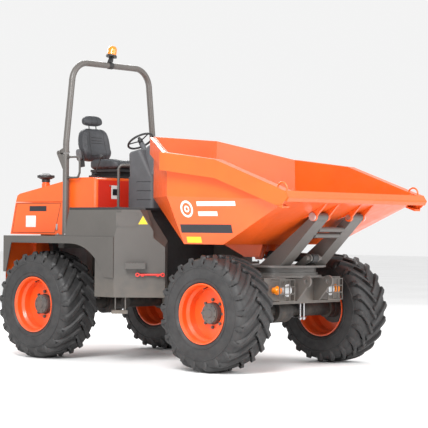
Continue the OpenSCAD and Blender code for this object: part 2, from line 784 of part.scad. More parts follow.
seat_x = rear_x + 50;
module seat_suspension() {
    color([0.1, 0.1, 0.1]) {
        block([seat_x - 125, -190, base_top + seat], [seat_x + 260, 190, base_top + 26]);
        block([seat_x - 100, -160, base_top + 25], [seat_x + 230, 160, base_top + 80]);
        block([seat_x - 190, -190, base_top + 79], [seat_x + 260, 190, base_top + 106]);
        // Pedestal of the control lever
        block([lever_x - 55, lever_y - 45, base_top + seat], [lever_x + 55, lever_y + 45, lever_z - 15 - gap]);
    }
}

module pillow(x0, x1, half, z0, z1, r) {
    hull() for (x = [x0 + r, x1 - r]) for (s = [-1, 1]) for (z = [z0 + r, z1 - r])
        translate([x, s * (half - r), z]) sphere(r = r, $fn = 24);
}

cushion_z = base_top + 106 + gap;
module seat_cushion() {
    color([0.2, 0.21, 0.22]) pillow(seat_x - 240, seat_x + 290, 245, cushion_z, cushion_z + 108, 36);
}

back_a = 8;
module in_back() {
    translate([seat_x - 260, 0, cushion_z + 70]) rotate([0, -back_a, 0]) children();
}
module seat_back() {
    color([0.2, 0.21, 0.22]) in_back() {
        pillow(-110, 12, 235, 20, 440, 34);
        // Recliner bosses
        mirrored() along_y(196, 222, 34);
        mirrored() block([-12, 196, 0], [10, 222, 60]);
    }
}
module headrest() {
    color([0.2, 0.21, 0.22]) in_back() {
        pillow(-96, 6, 152, 452, 582, 35);
        for (y = [-60, 60]) translate([-45, y, 441]) cylinder(d = 12, h = 40);
    }
}
module armrest() {
    color([0.5, 0.5, 0.51]) in_back() {
        translate([-40, 0, 60]) along_y(-300, -237, 60);
        hull() {
            translate([-30, 0, 60]) along_y(-298, -246, 56, $fn = 32);
            translate([-12, 0, 150]) along_y(-298, -246, 40, $fn = 32);
        }
    }
}

lever_x = rear_x + 105;
lever_y = -350;
lever_z = base_top + 48;
module control_lever() {
    z0 = lever_z;
    color([0.12, 0.12, 0.13]) {
        bar([lever_x, lever_y, z0], [lever_x + 90, lever_y, z0 + 180], 14);
        translate([lever_x + 96, lever_y, z0 + 192]) sphere(d = 44);
        translate([lever_x, 0, z0]) along_y(lever_y - 22, lever_y + 22, 30);
    }
}

pedal_x = console_front_x - 150;
pedal_ys = [-120, 60];
module pedal(y) {
    z = floor_z + 28;
    color([0.15, 0.15, 0.15]) {
        translate([pedal_x, 0, z]) along_y(y - 54, y + 54, 16);
        translate([pedal_x, 0, z]) along_y(y - 40, y + 40, 26);
        plate_y([[pedal_x - 8, z], [pedal_x + 6, z + 6], [pedal_x - 84, z + 142],
            [pedal_x - 98, z + 134]], y - 36, y + 36);
    }
}
module accelerator_pedal() { pedal(pedal_ys[0]); }
module brake_pedal() { pedal(pedal_ys[1]); }

// ---- Centre joint ----

module centre_yoke() {
    x1 = osc_x + gap;
    color([0.35, 0.34, 0.33]) {
        translate([0, 0, joint_z]) along_x(osc_x - 240, x1 + 5, osc_shaft_d);
        block([x1, -150, joint_z - 172], [x1 + 45, 150, joint_z + 172]);
        for (z = [joint_z - 172, joint_z + 122]) difference() {
            union() {
                block([x1 + 44, -105, z], [pivot_x, 105, z + 50]);
                translate([pivot_x, 0, z]) cylinder(d = 210, h = 50);
            }
        }
        translate([pivot_x, 0, joint_z - 180]) cylinder(d = pivot_pin_d, h = 360);
        // Foot bracket of the steering ram
        for (z = [joint_z - 53, joint_z + 35]) {
            block([x1, steer_foot[1] - 40, z], [x1 + 45, -149, z + 18]);
            translate([steer_foot[0], steer_foot[1], z]) cylinder(d = 66, h = 18);
        }
        translate([steer_foot[0], steer_foot[1], joint_z - 60]) cylinder(d = 26, h = 120);
    }
}

module in_steer() {
    translate([steer_foot[0], steer_foot[1], joint_z]) rotate([0, 0, steer_a]) children();
}
module steer_barrel() {
    color([0.3, 0.3, 0.31]) in_steer() difference() {
        union() {
            translate([0, 0, -34]) cylinder(d = 66, h = 68);
            along_x(25, 330, 66);
        }
        translate([0, 0, -35]) cylinder(d = 26 + 2 * fit, h = 70);
        along_x(50, 331, 36 + 2 * fit);
    }
}
module steer_rod() {
    color("silver") in_steer() difference() {
        union() {
            along_x(steer_l - 320, steer_l - 20, 36);
            translate([steer_l, 0, -20]) cylinder(d = 84, h = 40);
        }
        translate([steer_l, 0, -21]) cylinder(d = 62, h = 42);
    }
}

// ---- Front unit ----

module front_frame() {
    color([0.42, 0.4, 0.38]) {
        difference() {
            union() {
                // Tongue that the yoke holds
                translate([pivot_x, 0, joint_z - 120]) cylinder(d = 170, h = 240);
                block([pivot_x, -85, joint_z - 120], [front_x - 500, 85, joint_z + 120]);
                block([front_x - 520, -300, frame_base], [beam_x - 11, 300, frame_top]);
                // Disc under the slew ring
                translate([front_x, 0, frame_top - 1]) cylinder(d = slew_d + 80, h = 22);
                translate([front_x, 0, frame_top]) cylinder(d = slew_d, h = ring_z - frame_top);
            }
            translate([pivot_x, 0, joint_z - 200]) cylinder(d = pivot_pin_d + 2 * fit, h = 400);
            translate([front_x, 0, frame_top - 150]) cylinder(d = 200 + 2 * fit, h = 400);
            block([front_x - 508, -288, frame_base - 1], [beam_x - 24, 288, frame_top - 14]);
        }
        // Front beam with folded top and bottom edges
        block([beam_x - 12, -beam_half, 669], [beam_x, beam_half, frame_top]);
        block([beam_x - 90, -beam_half, frame_top - 12], [beam_x, beam_half, frame_top]);
        block([beam_x - 90, -beam_half, 669], [beam_x, beam_half, 681]);
        // Lugs with the drawbar holes
        difference() {
            mirrored() {
                plate_y([[beam_x - 1, 700], [beam_x + 70, 700], [lug_x, 830],
                    [lug_x, frame_top - 20], [beam_x - 1, frame_top]], 165, 190);
                translate([lug_x, 0, lug_z]) along_y(165, 190, 120);
            }
            translate([lug_x, 0, lug_z]) along_y(-191, 191, lug_hole_d);
        }
        // Head bracket of the steering ram
        for (z = [joint_z - 52, joint_z + 36]) {
            block([steer_head[0] - 34, steer_head[1], z], [steer_head[0] + 34, -84, z + 16]);
            translate([steer_head[0], steer_head[1], z]) cylinder(d = 68, h = 16);
        }
        translate([steer_head[0], steer_head[1], joint_z - 58]) cylinder(d = 20, h = 116);
    }
}

lamp_y = 392;
lamp_x = beam_x + 60;
module lamp_guards() {
    x = beam_x + 106;
    w = 118;
    z0 = 700;
    z1 = 925;
    color([0.45, 0.43, 0.4]) mirrored() translate([0, lamp_y, 0]) {
        for (y = [-w, -w / 3, w / 3, w]) block([x, y - 5, z0], [x + 8, y + 5, z1]);
        for (i = [0 : 3]) let (z = z0 + (z1 - z0 - 10) * i / 3) block([x, -w - 5, z], [x + 8, w + 5, z + 10]);
        for (y = [-w, w]) for (z = [z0, z1 - 10]) block([beam_x + seat, y - 5, z], [x + 1, y + 5, z + 10]);
    }
}
module headlamps() {
    color([0.85, 0.87, 0.9]) mirrored() translate([0, lamp_y - 42, 812]) {
        along_x(beam_x + seat, beam_x + 52, 70);
        translate([beam_x + 52, 0, 0]) rotate([0, 90, 0]) cylinder(d1 = 80, d2 = 130, h = 30);
        translate([beam_x + 82, 0, 0]) rotate([0, 90, 0]) cylinder(d1 = 130, d2 = 100, h = 12);
    }
}
module indicators() {
    color([1, 0.55, 0.1]) mirrored() translate([0, lamp_y + 82, 812]) {
        along_x(beam_x + seat, beam_x + 50, 64);
        translate([beam_x + 50, 0, 0]) rotate([0, 90, 0]) cylinder(d1 = 96, d2 = 70, h = 34);
    }
}

module axle_bolts() {
    color("silver") mirrored() for (x = [-104, 104]) for (y = [255, 315])
        translate([front_x + x, y, 0]) {
            translate([0, 0, 478]) cylinder(d = 22, h = frame_base - 478 - seat);
            translate([0, 0, 486]) cylinder(d = 40, h = 18, $fn = 6);
        }
    color([0.25, 0.25, 0.25]) mirrored()
        block([front_x - 130, 236, 505], [front_x + 130, 334, 509]);
}

// ---- Turntable and lift frame ----

module turntable() {
    color([0.4, 0.38, 0.36]) {
        translate([front_x, 0, ring_z + gap]) cylinder(d = slew_d - 30, h = table_z - 20 - ring_z);
        translate([front_x, 0, table_z - 20]) cylinder(d = slew_d + 170, h = 20);
        translate([front_x, 0, frame_top - 100]) cylinder(d = 200, h = 160);
        // Foot bracket of the tip ram
        for (y = [-72, 52]) plate_y(concat([[arm_foot_x - 60, table_z - 1], [arm_foot_x + 60, table_z - 1]],
            arc(ram_foot[0], ram_foot[1], 44, -40, 150, 8)), y, y + 20);
        translate([ram_foot[0], 0, ram_foot[1]]) along_y(-120, 120, 50);
    }
}

// Outside diameter of the hinge bosses, kept clear of the skip's sloping front plate
boss_d = hinge_pin_d + 26;
module lift_frame() {
    web = [[front_x + 70, table_z + seat], [arm_foot_x, table_z + seat],
        [hinge_x + 30, hinge_z - 28], [hinge_x - 30, hinge_z + 16], [hinge_x - 64, hinge_z - 12]];
    color([0.4, 0.38, 0.36]) {
        difference() {
            mirrored() {
                plate_y(web, arm_y1 - 18, arm_y1);
                plate_y(web, arm_y0, arm_y0 + 18);
                translate([hinge_x, 0, hinge_z]) along_y(arm_y0, arm_y1, boss_d);
                plate_y([[arm_foot_x - 22, table_z + seat], [arm_foot_x, table_z + seat],
                    [hinge_x + 22, hinge_z - 36], [hinge_x, hinge_z - 30]], arm_y0 + 17, arm_y1 - 17);
            }
            translate([hinge_x, 0, hinge_z]) along_y(-arm_y1 - 1, arm_y1 + 1, hinge_pin_d + 2 * fit);
        }
        // Cross tubes between the arms
        for (p = [[hinge_x - 95, hinge_z - 125], [hinge_x - 150, hinge_z - 185]])
            translate([p[0], 0, p[1]]) along_y(-arm_y0 - 1, arm_y0 + 1, 56);
    }
}

ear_in = arm_y0 - 24;
ear_out = arm_y1 + 4;
module hinge_pins() {
    color("silver") mirrored() translate([hinge_x, 0, hinge_z]) {
        along_y(ear_in - 14, ear_out + 32, hinge_pin_d);
        along_y(ear_out + 24 + gap, ear_out + 40, boss_d);
    }
}

ram_v = ram_head - ram_foot;
ram_a = atan2(ram_v[1], ram_v[0]);
ram_l = norm(ram_v);
module in_ram() {
    translate([ram_foot[0], 0, ram_foot[1]]) rotate([0, -ram_a, 0]) children();
}
module tip_barrel() {
    color([0.3, 0.3, 0.31]) in_ram() difference() {
        union() {
            along_y(-40, 40, 96);
            along_x(30, ram_l - 90, ram_d);
        }
        along_y(-41, 41, 50 + 2 * fit);
        along_x(90, ram_l, rod_d + 2 * fit);
    }
}
module tip_rod() {
    color("silver") in_ram() {
        along_x(110, ram_l - 30, rod_d);
        translate([ram_l, 0, 0]) along_y(-38, 38, 76);
    }
}

// ---- Skip ----

belly_z = 1270;
crease_z = 1755;
slope_x = front_x + 110;
// Height of the sloping front plate's underside at a station
function slope_z(x) = belly_z + (x - slope_x) * (1705 - belly_z) / (lip_x - 90 - slope_x);
function inset(o) = [
    // Rear wall: top, crease and foot, then the same for the side and front corners
    [front_x - skip_back + o, back_half - o, 2700], [front_x - skip_back + o, back_half - o, crease_z],
    [front_x - 845 + o, 450 - o, belly_z + o],
    [front_x - 630 + o, wall_half - o, 2700], [front_x - 612 + o, wall_half - o, crease_z],
    [front_x - 490 + o, wall_half - 130 - o, belly_z + o],
    [front_x + 50, wall_half - 130 - o, belly_z + o], [slope_x - o, 600 - o, belly_z + o],
    [lip_x - 90, wall_half - 70 - o, 1705 + o], [lip_x - 96, wall_half - o, 1712 + o],
    [lip_x - 90, wall_half - o, 2700]];
module tub_solid(o) {
    hull() for (p = inset(o)) for (s = [-1, 1]) translate([p[0], s * p[1], p[2]]) cube(0.01);
}
// Rim line of the skip seen from the side
rim_line = [[front_x - skip_back, 2412], [front_x - 622, 2205], [front_x + 130, 2112],
    [lip_x - 50, 1795]];
module skip_tub() {
    color("orangered") intersection() {
        difference() {
            tub_solid(0);
            tub_solid(skip_t);
        }
        plate_y(concat(rim_line, [[lip_x, 1200], [front_x - skip_back, 1200]]), -skip_w, skip_w);
    }
}

// Folded rail round the sides and back of the rim and the lip across the front
module skip_rim() {
    w0 = wall_half + 1;
    drop = [for (p = rim_line) [p[0], p[1] - 185]];
    color("orangered") {
        mirrored() intersection() {
            difference() {
                plate_y([rim_line[1], rim_line[2], rim_line[3], drop[3] + [-30, 20], drop[2], drop[1]],
                    w0 + seat, skip_half - 12);
                plate_y([rim_line[1] + [-1, -10], rim_line[2] + [0, -10], rim_line[3] + [9, -10],
                    drop[3] + [0, 30], drop[2] + [0, 10], drop[1] + [-1, 10]], w0 - 5, skip_half - 22);
            }
            block([front_x - 622, 0, 1000], [lip_x - 20, 2000, 3000]);
        }
        // Rail along the slanted rear corners and the back
        mirrored() translate([front_x - 622, w0 + seat, 0]) {
            v = [-skip_back + 622, back_half - wall_half];
            a = atan2(v[1], v[0]);
            rotate([0, 0, a]) translate([0, -rail_deep, 0])
                plate_y([[2, 2020], [2, 2200], [norm(v) + 14, 2405], [norm(v) + 14, 2225]],
                    -0.1, rail_deep - seat - 2);
        }
        block([front_x - skip_back - rail_deep - 2, -back_half - 10, 2226],
            [front_x - skip_back - 1, back_half + 10, 2405]);
        // Lip: sloped top strip over a box
        plate_y([[lip_x - 88, 1722], [lip_x - 50, 1795], [lip_x - 38, 1795], [lip_x, 1740],
            [lip_x, 1722], [lip_x - 20, 1690]], -skip_half + 9, skip_half - 9);
        mirrored() {
            plate_y([[lip_x - 160, 1660], [lip_x - 155, 1830], [lip_x - 50, 1795], [lip_x, 1735],
                [lip_x - 70, 1665]], skip_half - 12, skip_half);
            // Lifting eyes on the front corners
            translate([lip_x - 130, skip_half - 70, 1815]) rotate([0, 12, 0]) rotate([90, 0, 0]) {
                rotate_extrude(angle = 180) translate([60, 0]) circle(d = 18, $fn = 24);
                for (x = [-60, 60]) translate([x, 0, 0]) rotate([90, 0, 0]) cylinder(d = 18, h = 40);
            }
        }
    }
}

module hinge_brackets() {
    t = 24 - gap;
    ear = concat([[hinge_x - 150, slope_z(hinge_x - 150) - 0.5],
        [lip_x - 130, slope_z(lip_x - 130) - 0.5]], arc(hinge_x, hinge_z, 44, 10, -190, 12));
    color("orangered") {
        difference() {
            mirrored() {
                plate_y(ear, ear_in, ear_in + t);
                plate_y(ear, ear_out, ear_out + t);
            }
            translate([hinge_x, 0, hinge_z]) along_y(-ear_out - t - 1, ear_out + t + 1, hinge_pin_d + 2 * fit);
        }
        // Belly rails and the ears of the tip ram
        mirrored() {
            plate_y([[front_x - 480, belly_z - seat], [front_x + 60, belly_z - seat],
                [front_x + 20, 1140], [front_x - 180, 1140]], 300, 312);
            plate_y([[ram_head[0] - 110, belly_z - seat], [ram_head[0] + 110, belly_z - seat],
                [ram_head[0] + 40, ram_head[1] - 50], [ram_head[0] - 40, ram_head[1] - 50]], 62, 82);
            translate([ram_head[0], 0, ram_head[1]]) along_y(42, 63, 40);
        }
    }
}

rear_frame();
rear_axle();
counterweight();
fenders();
side_box_right();
side_box_left();
steps();
platform();
engine_enclosure();
seat_base();
engine();
rops_posts();
rops_hoop();
beacon_bracket();
beacon_lens();
grab_rails();
access_cover();
lock_bar();
console();
seat_suspension();
bonnet();
intake_pipe();
precleaner();
steering_wheel();
seat_cushion();
seat_back();
headrest();
armrest();
control_lever();
accelerator_pedal();
brake_pedal();
centre_yoke();
front_frame();
front_axle();
lamp_guards();
headlamps();
indicators();
axle_bolts();
turntable();
lift_frame();
hinge_pins();
tip_barrel();
tip_rod();
steer_barrel();
steer_rod();
skip_tub();
skip_rim();
hinge_brackets();
tyre_front_right();
tyre_front_left();
tyre_rear_right();
tyre_rear_left();
rim_front_right();
rim_front_left();
rim_rear_right();
rim_rear_left();
hub_front_right();
hub_front_left();
hub_rear_right();
hub_rear_left();
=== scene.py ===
import json
import math

import bmesh
import bpy
from mathutils import Matrix, Vector
from mathutils.bvhtree import BVHTree


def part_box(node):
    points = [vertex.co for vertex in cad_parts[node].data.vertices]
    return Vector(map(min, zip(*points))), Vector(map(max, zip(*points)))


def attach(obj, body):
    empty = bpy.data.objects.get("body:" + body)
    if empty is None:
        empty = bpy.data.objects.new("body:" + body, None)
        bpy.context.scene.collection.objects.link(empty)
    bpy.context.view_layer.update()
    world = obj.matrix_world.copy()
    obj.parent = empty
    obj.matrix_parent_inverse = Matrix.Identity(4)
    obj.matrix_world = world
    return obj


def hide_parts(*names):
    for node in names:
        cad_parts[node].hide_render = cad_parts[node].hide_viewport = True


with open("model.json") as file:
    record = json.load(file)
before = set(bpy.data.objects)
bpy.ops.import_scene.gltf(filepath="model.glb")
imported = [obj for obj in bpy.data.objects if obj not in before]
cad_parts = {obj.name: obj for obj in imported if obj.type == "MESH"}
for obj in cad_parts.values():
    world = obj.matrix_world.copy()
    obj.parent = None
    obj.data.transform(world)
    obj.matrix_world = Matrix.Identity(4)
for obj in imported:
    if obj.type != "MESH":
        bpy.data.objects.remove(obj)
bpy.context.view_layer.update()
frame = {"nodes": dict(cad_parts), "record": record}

X_AXIS, Y_AXIS, Z_AXIS = Vector((1, 0, 0)), Vector((0, 1, 0)), Vector((0, 0, 1))

WHEEL_PLACES = [(end, hand, side) for end in ("front", "rear") for hand, side in (("right", -1), ("left", 1))]


def corners_of(node):
    """The low and high corners of a CAD node's box."""
    low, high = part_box(node)
    return Vector(low), Vector(high)


# ---------------------------------------------------------------- finishes


def finish_nodes(name):
    """A new material, its node tree and its main shader."""
    made = bpy.data.materials.new(name)
    made.use_nodes = True
    tree = made.node_tree
    return made, tree, tree.nodes["Principled BSDF"]


def noise_on(tree, scale, detail=4.0, stretch=(1, 1, 1)):
    """Noise in metres over the object's own coordinates."""
    place = tree.nodes.new("ShaderNodeTexCoord")
    mapping = tree.nodes.new("ShaderNodeMapping")
    mapping.inputs["Scale"].default_value = stretch
    noise = tree.nodes.new("ShaderNodeTexNoise")
    noise.inputs["Scale"].default_value = scale
    noise.inputs["Detail"].default_value = detail
    tree.links.new(place.outputs["Object"], mapping.inputs["Vector"])
    tree.links.new(mapping.outputs["Vector"], noise.inputs["Vector"])
    return noise.outputs["Fac"]


def ramp(tree, source, low, high, where=(0.35, 0.65)):
    """A colour ramp from low to high."""
    node = tree.nodes.new("ShaderNodeValToRGB")
    node.color_ramp.elements[0].position = where[0]
    node.color_ramp.elements[0].color = (*low, 1)
    node.color_ramp.elements[1].position = where[1]
    node.color_ramp.elements[1].color = (*high, 1)
    tree.links.new(source, node.inputs["Fac"])
    return node.outputs["Color"]


def spread(tree, source, low, high):
    """source from 0..1 to low..high."""
    node = tree.nodes.new("ShaderNodeMapRange")
    node.inputs["To Min"].default_value = low
    node.inputs["To Max"].default_value = high
    node.inputs["From Min"].default_value = 0.3
    node.inputs["From Max"].default_value = 0.7
    tree.links.new(source, node.inputs["Value"])
    return node.outputs["Result"]


def mixed(tree, amount, first, second):
    """first turning to second as amount rises; second may be a plain colour."""
    node = tree.nodes.new("ShaderNodeMix")
    node.data_type = "RGBA"
    tree.links.new(amount, node.inputs["Factor"])
    tree.links.new(first, node.inputs[6])
    if isinstance(second, tuple):
        node.inputs[7].default_value = (*second, 1)
    else:
        tree.links.new(second, node.inputs[7])
    return node.outputs[2]


def bumped(tree, shader, height, strength, distance=0.002):
    """Small relief from height on the shader's normal."""
    node = tree.nodes.new("ShaderNodeBump")
    node.inputs["Strength"].default_value = strength
    node.inputs["Distance"].default_value = distance
    tree.links.new(height, node.inputs["Height"])
    tree.links.new(node.outputs["Normal"], shader.inputs["Normal"])


def dust_height(tree, top, bottom):
    """1 at bottom and 0 at top, broken up by noise, for dirt near the ground."""
    place = tree.nodes.new("ShaderNodeTexCoord")
    parts = tree.nodes.new("ShaderNodeSeparateXYZ")
    tree.links.new(place.outputs["Object"], parts.inputs["Vector"])
    level = tree.nodes.new("ShaderNodeMapRange")
    level.inputs["From Min"].default_value = top
    level.inputs["From Max"].default_value = bottom
    tree.links.new(parts.outputs["Z"], level.inputs["Value"])
    patch = noise_on(tree, 9.0, 6.0)
    times = tree.nodes.new("ShaderNodeMath")
    times.operation = "MULTIPLY"
    tree.links.new(level.outputs["Result"], times.inputs[0])
    tree.links.new(spread(tree, patch, 0.0, 0.7), times.inputs[1])
    return times.outputs["Value"]


def enamel(name, colour, rough=0.34, dirt=(0.9, 0.2), peel=0.05, coat=0.25, shade=0.88):
    """Machine enamel: slight mottling, orange peel, dust low down."""
    made, tree, shader = finish_nodes(name)
    dark = tuple(c * shade for c in colour)
    tone = ramp(tree, noise_on(tree, 2.3, 5.0), dark, colour)
    tone = mixed(tree, dust_height(tree, *dirt), tone, (0.19, 0.15, 0.11))
    tree.links.new(tone, shader.inputs["Base Color"])
    tree.links.new(spread(tree, noise_on(tree, 14.0, 6.0), rough - 0.05, rough + 0.09),
                   shader.inputs["Roughness"])
    shader.inputs["Coat Weight"].default_value = coat
    shader.inputs["Coat Roughness"].default_value = 0.12
    bumped(tree, shader, noise_on(tree, 260.0, 2.0), peel, 0.0008)
    return made


def moulded(name, colour, rough=0.55, grain=900.0, strength=0.25, shade=0.8):
    """Moulded plastic or vinyl with a fine leather-like grain."""
    made, tree, shader = finish_nodes(name)
    dark = tuple(c * shade for c in colour)
    tree.links.new(ramp(tree, noise_on(tree, 5.0, 6.0), dark, colour), shader.inputs["Base Color"])
    tree.links.new(spread(tree, noise_on(tree, 22.0, 4.0), rough - 0.06, rough + 0.1),
                   shader.inputs["Roughness"])
    cells = tree.nodes.new("ShaderNodeTexVoronoi")
    cells.inputs["Scale"].default_value = grain
    place = tree.nodes.new("ShaderNodeTexCoord")
    tree.links.new(place.outputs["Object"], cells.inputs["Vector"])
    bumped(tree, shader, cells.outputs["Distance"], strength, 0.0006)
    return made


def cast(name, colour, rough=0.6, metallic=0.2):
    """Painted casting with a coarse skin and dust."""
    made, tree, shader = finish_nodes(name)
    dark = tuple(c * 0.7 for c in colour)
    tone = ramp(tree, noise_on(tree, 7.0, 7.0), dark, colour)
    tone = mixed(tree, dust_height(tree, 1.1, 0.2), tone, (0.17, 0.14, 0.11))
    tree.links.new(tone, shader.inputs["Base Color"])
    tree.links.new(spread(tree, noise_on(tree, 30.0), rough - 0.1, rough + 0.12),
                   shader.inputs["Roughness"])
    shader.inputs["Metallic"].default_value = metallic
    bumped(tree, shader, noise_on(tree, 140.0, 5.0), 0.3, 0.0012)
    return made


def steel(name, colour, rough, streak=(1, 1, 1)):
    """Bare or chromed steel with fine machining marks."""
    made, tree, shader = finish_nodes(name)
    dark = tuple(c * 0.82 for c in colour)
    tree.links.new(ramp(tree, noise_on(tree, 20.0, 5.0, streak), dark, colour),
                   shader.inputs["Base Color"])
    tree.links.new(spread(tree, noise_on(tree, 60.0, 4.0, streak), rough, rough + 0.1),
                   shader.inputs["Roughness"])
    shader.inputs["Metallic"].default_value = 1.0
    bumped(tree, shader, noise_on(tree, 240.0, 3.0, streak), 0.08, 0.0004)
    return made


def tyre_finish():
    """Black rubber with faint patchy dust and a dull sheen."""
    made, tree, shader = finish_nodes("tyre_rubber")
    tone = ramp(tree, noise_on(tree, 6.0, 7.0), (0.014, 0.014, 0.015), (0.026, 0.026, 0.027))
    tone = mixed(tree, spread(tree, noise_on(tree, 17.0, 8.0), 0.0, 0.05), tone, (0.22, 0.19, 0.16))
    tree.links.new(tone, shader.inputs["Base Color"])
    tree.links.new(spread(tree, noise_on(tree, 25.0, 6.0), 0.5, 0.72), shader.inputs["Roughness"])
    bumped(tree, shader, noise_on(tree, 420.0, 6.0), 0.35, 0.0012)
    return made


def clear_lens(name, colour, rough, through):
    """Lamp lens with moulded flutes."""
    made, tree, shader = finish_nodes(name)
    tone = ramp(tree, noise_on(tree, 40.0), tuple(c * 0.85 for c in colour), colour)
    tree.links.new(tone, shader.inputs["Base Color"])
    shader.inputs["Roughness"].default_value = rough
    shader.inputs["Transmission Weight"].default_value = through
    shader.inputs["Coat Weight"].default_value = 0.6
    flutes = tree.nodes.new("ShaderNodeTexWave")
    flutes.inputs["Scale"].default_value = 26.0
    flutes.bands_direction = "Y"
    place = tree.nodes.new("ShaderNodeTexCoord")
    tree.links.new(place.outputs["Object"], flutes.inputs["Vector"])
    bumped(tree, shader, flutes.outputs["Fac"], 0.35, 0.003)
    return made


ORANGE = (0.80, 0.105, 0.010)
finishes = {
    "orange_paint": enamel("orange_paint", ORANGE),
    "red_paint": enamel("red_paint", (0.62, 0.022, 0.014)),
    # A redder, darker copy of the orange paint: painted shade for the front-facing face of the seat base
    "front_face_painted_shade": enamel("front_face_painted_shade", (0.66, 0.028, 0.012)),
    "frame_grey": enamel("frame_grey", (0.072, 0.066, 0.060), 0.42, (1.0, 0.3), 0.12, 0.1),
    "panel_grey": enamel("panel_grey", (0.098, 0.090, 0.083), 0.4, (1.0, 0.3), 0.1, 0.12),
    "console_plastic": moulded("console_plastic", (0.082, 0.084, 0.090), 0.6),
    "black_plastic": moulded("black_plastic", (0.02, 0.02, 0.021), 0.5),
    "black_rubber": moulded("black_rubber", (0.016, 0.016, 0.016), 0.7, 500.0, 0.4),
    "seat_cover": moulded("seat_cover", (0.036, 0.038, 0.043), 0.52, 1300.0, 0.5),
    "armrest_pad": moulded("armrest_pad", (0.12, 0.12, 0.125), 0.6, 1200.0, 0.4),
    "rim_orange": enamel("rim_orange", (0.80, 0.085, 0.010), 0.36, (0.5, 0.0), 0.08),
    "hub_grey": cast("hub_grey", (0.09, 0.088, 0.086)),
    "axle_black": cast("axle_black", (0.035, 0.035, 0.036)),
    "engine_metal": cast("engine_metal", (0.14, 0.145, 0.15), 0.5, 0.6),
    "bright_steel": steel("bright_steel", (0.55, 0.55, 0.56), 0.3),
    "chrome_rod": steel("chrome_rod", (0.8, 0.8, 0.82), 0.08),
    "lamp_glass": clear_lens("lamp_glass", (0.85, 0.88, 0.9), 0.08, 0.35),
    "amber_lens": clear_lens("amber_lens", (0.95, 0.28, 0.01), 0.15, 0.25),
    "tyre_rubber": tyre_finish(),
    "label_dark": moulded("label_dark", (0.014, 0.015, 0.02), 0.35, 300.0, 0.03),
    "label_white": moulded("label_white", (0.78, 0.78, 0.76), 0.4, 300.0, 0.03),
    "label_yellow": moulded("label_yellow", (0.85, 0.6, 0.02), 0.4, 300.0, 0.03),
}

slot_of = {part["node"]: part["material_slot"] for part in frame["record"]["subparts"]}
for node, obj in frame["nodes"].items():
    obj.data.materials.clear()
    obj.data.materials.append(finishes[slot_of[node]])

# ---------------------------------------------------------------- making pieces


def piece(name, bm, body, slot, smooth=True, finish=None, angle=35):
    """Turns a bmesh in the shared frame into a piece that rides on a body."""
    bmesh.ops.remove_doubles(bm, verts=bm.verts, dist=1e-6)
    bmesh.ops.recalc_face_normals(bm, faces=bm.faces)
    mesh = bpy.data.meshes.new(name)
    bm.to_mesh(mesh)
    bm.free()
    obj = bpy.data.objects.new(name, mesh)
    bpy.context.scene.collection.objects.link(obj)
    mesh.materials.append(finish or finishes[slot])
    if smooth:
        mesh.shade_smooth()
        mesh.set_sharp_from_angle(angle=math.radians(angle))
    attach(obj, body)
    return obj


def soften(obj, width, segments=2):
    """Rounds a finished piece's edges."""
    edge = obj.modifiers.new("soft_edge", "BEVEL")
    edge.width = width
    edge.segments = segments
    edge.limit_method = "ANGLE"
    edge.angle_limit = math.radians(35)
    return obj


def box_into(bm, low, high, turn=None, about=None):
    """A block between two corners, turned about a point if asked."""
    low, high = Vector(low), Vector(high)
    made = bmesh.ops.create_cube(bm, size=1.0)["verts"]
    bmesh.ops.scale(bm, verts=made, vec=high - low)
    bmesh.ops.translate(bm, verts=made, vec=(low + high) / 2)
    if turn:
        bmesh.ops.rotate(bm, verts=made, cent=Vector(about or (0, 0, 0)), matrix=turn)
    return made


def rod_into(bm, start, end, radius, segments=16, radius_end=None):
    """A round bar from start to end."""
    start, end = Vector(start), Vector(end)
    along = end - start
    made = bmesh.ops.create_cone(bm, cap_ends=True, segments=segments, radius1=radius,
                                 radius2=radius if radius_end is None else radius_end,
                                 depth=along.length)["verts"]
    turn = Z_AXIS.rotation_difference(along).to_matrix()
    bmesh.ops.rotate(bm, verts=made, cent=Vector(), matrix=turn)
    bmesh.ops.translate(bm, verts=made, vec=(start + end) / 2)
    return made


def bolt_into(bm, at, out, size=0.009, washer=True):
    """A hexagon bolt head with its washer, standing out of a face."""
    at, out = Vector(at), Vector(out).normalized()
    if washer:
        rod_into(bm, at, at + out * size * 0.25, size * 1.45, 20)
    rod_into(bm, at, at + out * size * 0.95, size, 6)
    rod_into(bm, at + out * size * 0.9, at + out * size * 1.1, size * 0.7, 12, size * 0.55)


def tube_into(bm, points, radius, segments=12):
    """A round tube along a list of points, as one swept wall with its ends closed."""
    pts = [Vector(p) for p in points]
    heading = (pts[1] - pts[0]).normalized()
    facing = heading
    ring = bmesh.ops.create_circle(bm, cap_ends=True, segments=segments, radius=radius)["verts"]
    turn = Z_AXIS.rotation_difference(heading).to_matrix()
    bmesh.ops.rotate(bm, verts=ring, cent=Vector(), matrix=turn)
    bmesh.ops.translate(bm, verts=ring, vec=pts[0])
    face = ring[0].link_faces[0]
    for i in range(1, len(pts)):
        grown = bmesh.ops.extrude_face_region(bm, geom=[face])["geom"]
        verts = [g for g in grown if isinstance(g, bmesh.types.BMVert)]
        face = [g for g in grown if isinstance(g, bmesh.types.BMFace)][0]
        bmesh.ops.translate(bm, verts=verts, vec=pts[i] - pts[i - 1])
        if i + 1 < len(pts):
            after = (pts[i + 1] - pts[i]).normalized()
            middle = (heading + after).normalized()
        else:
            after = (pts[i] - pts[i - 1]).normalized()
            middle = after
        turn = facing.rotation_difference(middle).to_matrix()
        bmesh.ops.rotate(bm, verts=verts, cent=pts[i], matrix=turn)
        facing, heading = middle, after


# ---------------------------------------------------------------- stations

tyre_low, tyre_high = corners_of("tyre_front_right")
rim_low, rim_high = corners_of("rim_front_right")
AXLE_Z = (tyre_low.z + tyre_high.z) / 2
TYRE_R = (tyre_high.z - tyre_low.z) / 2
TYRE_HALF = (tyre_high.y - tyre_low.y) / 2
RIM_R = (rim_high.z - rim_low.z) / 2

# ---------------------------------------------------------------- tyres

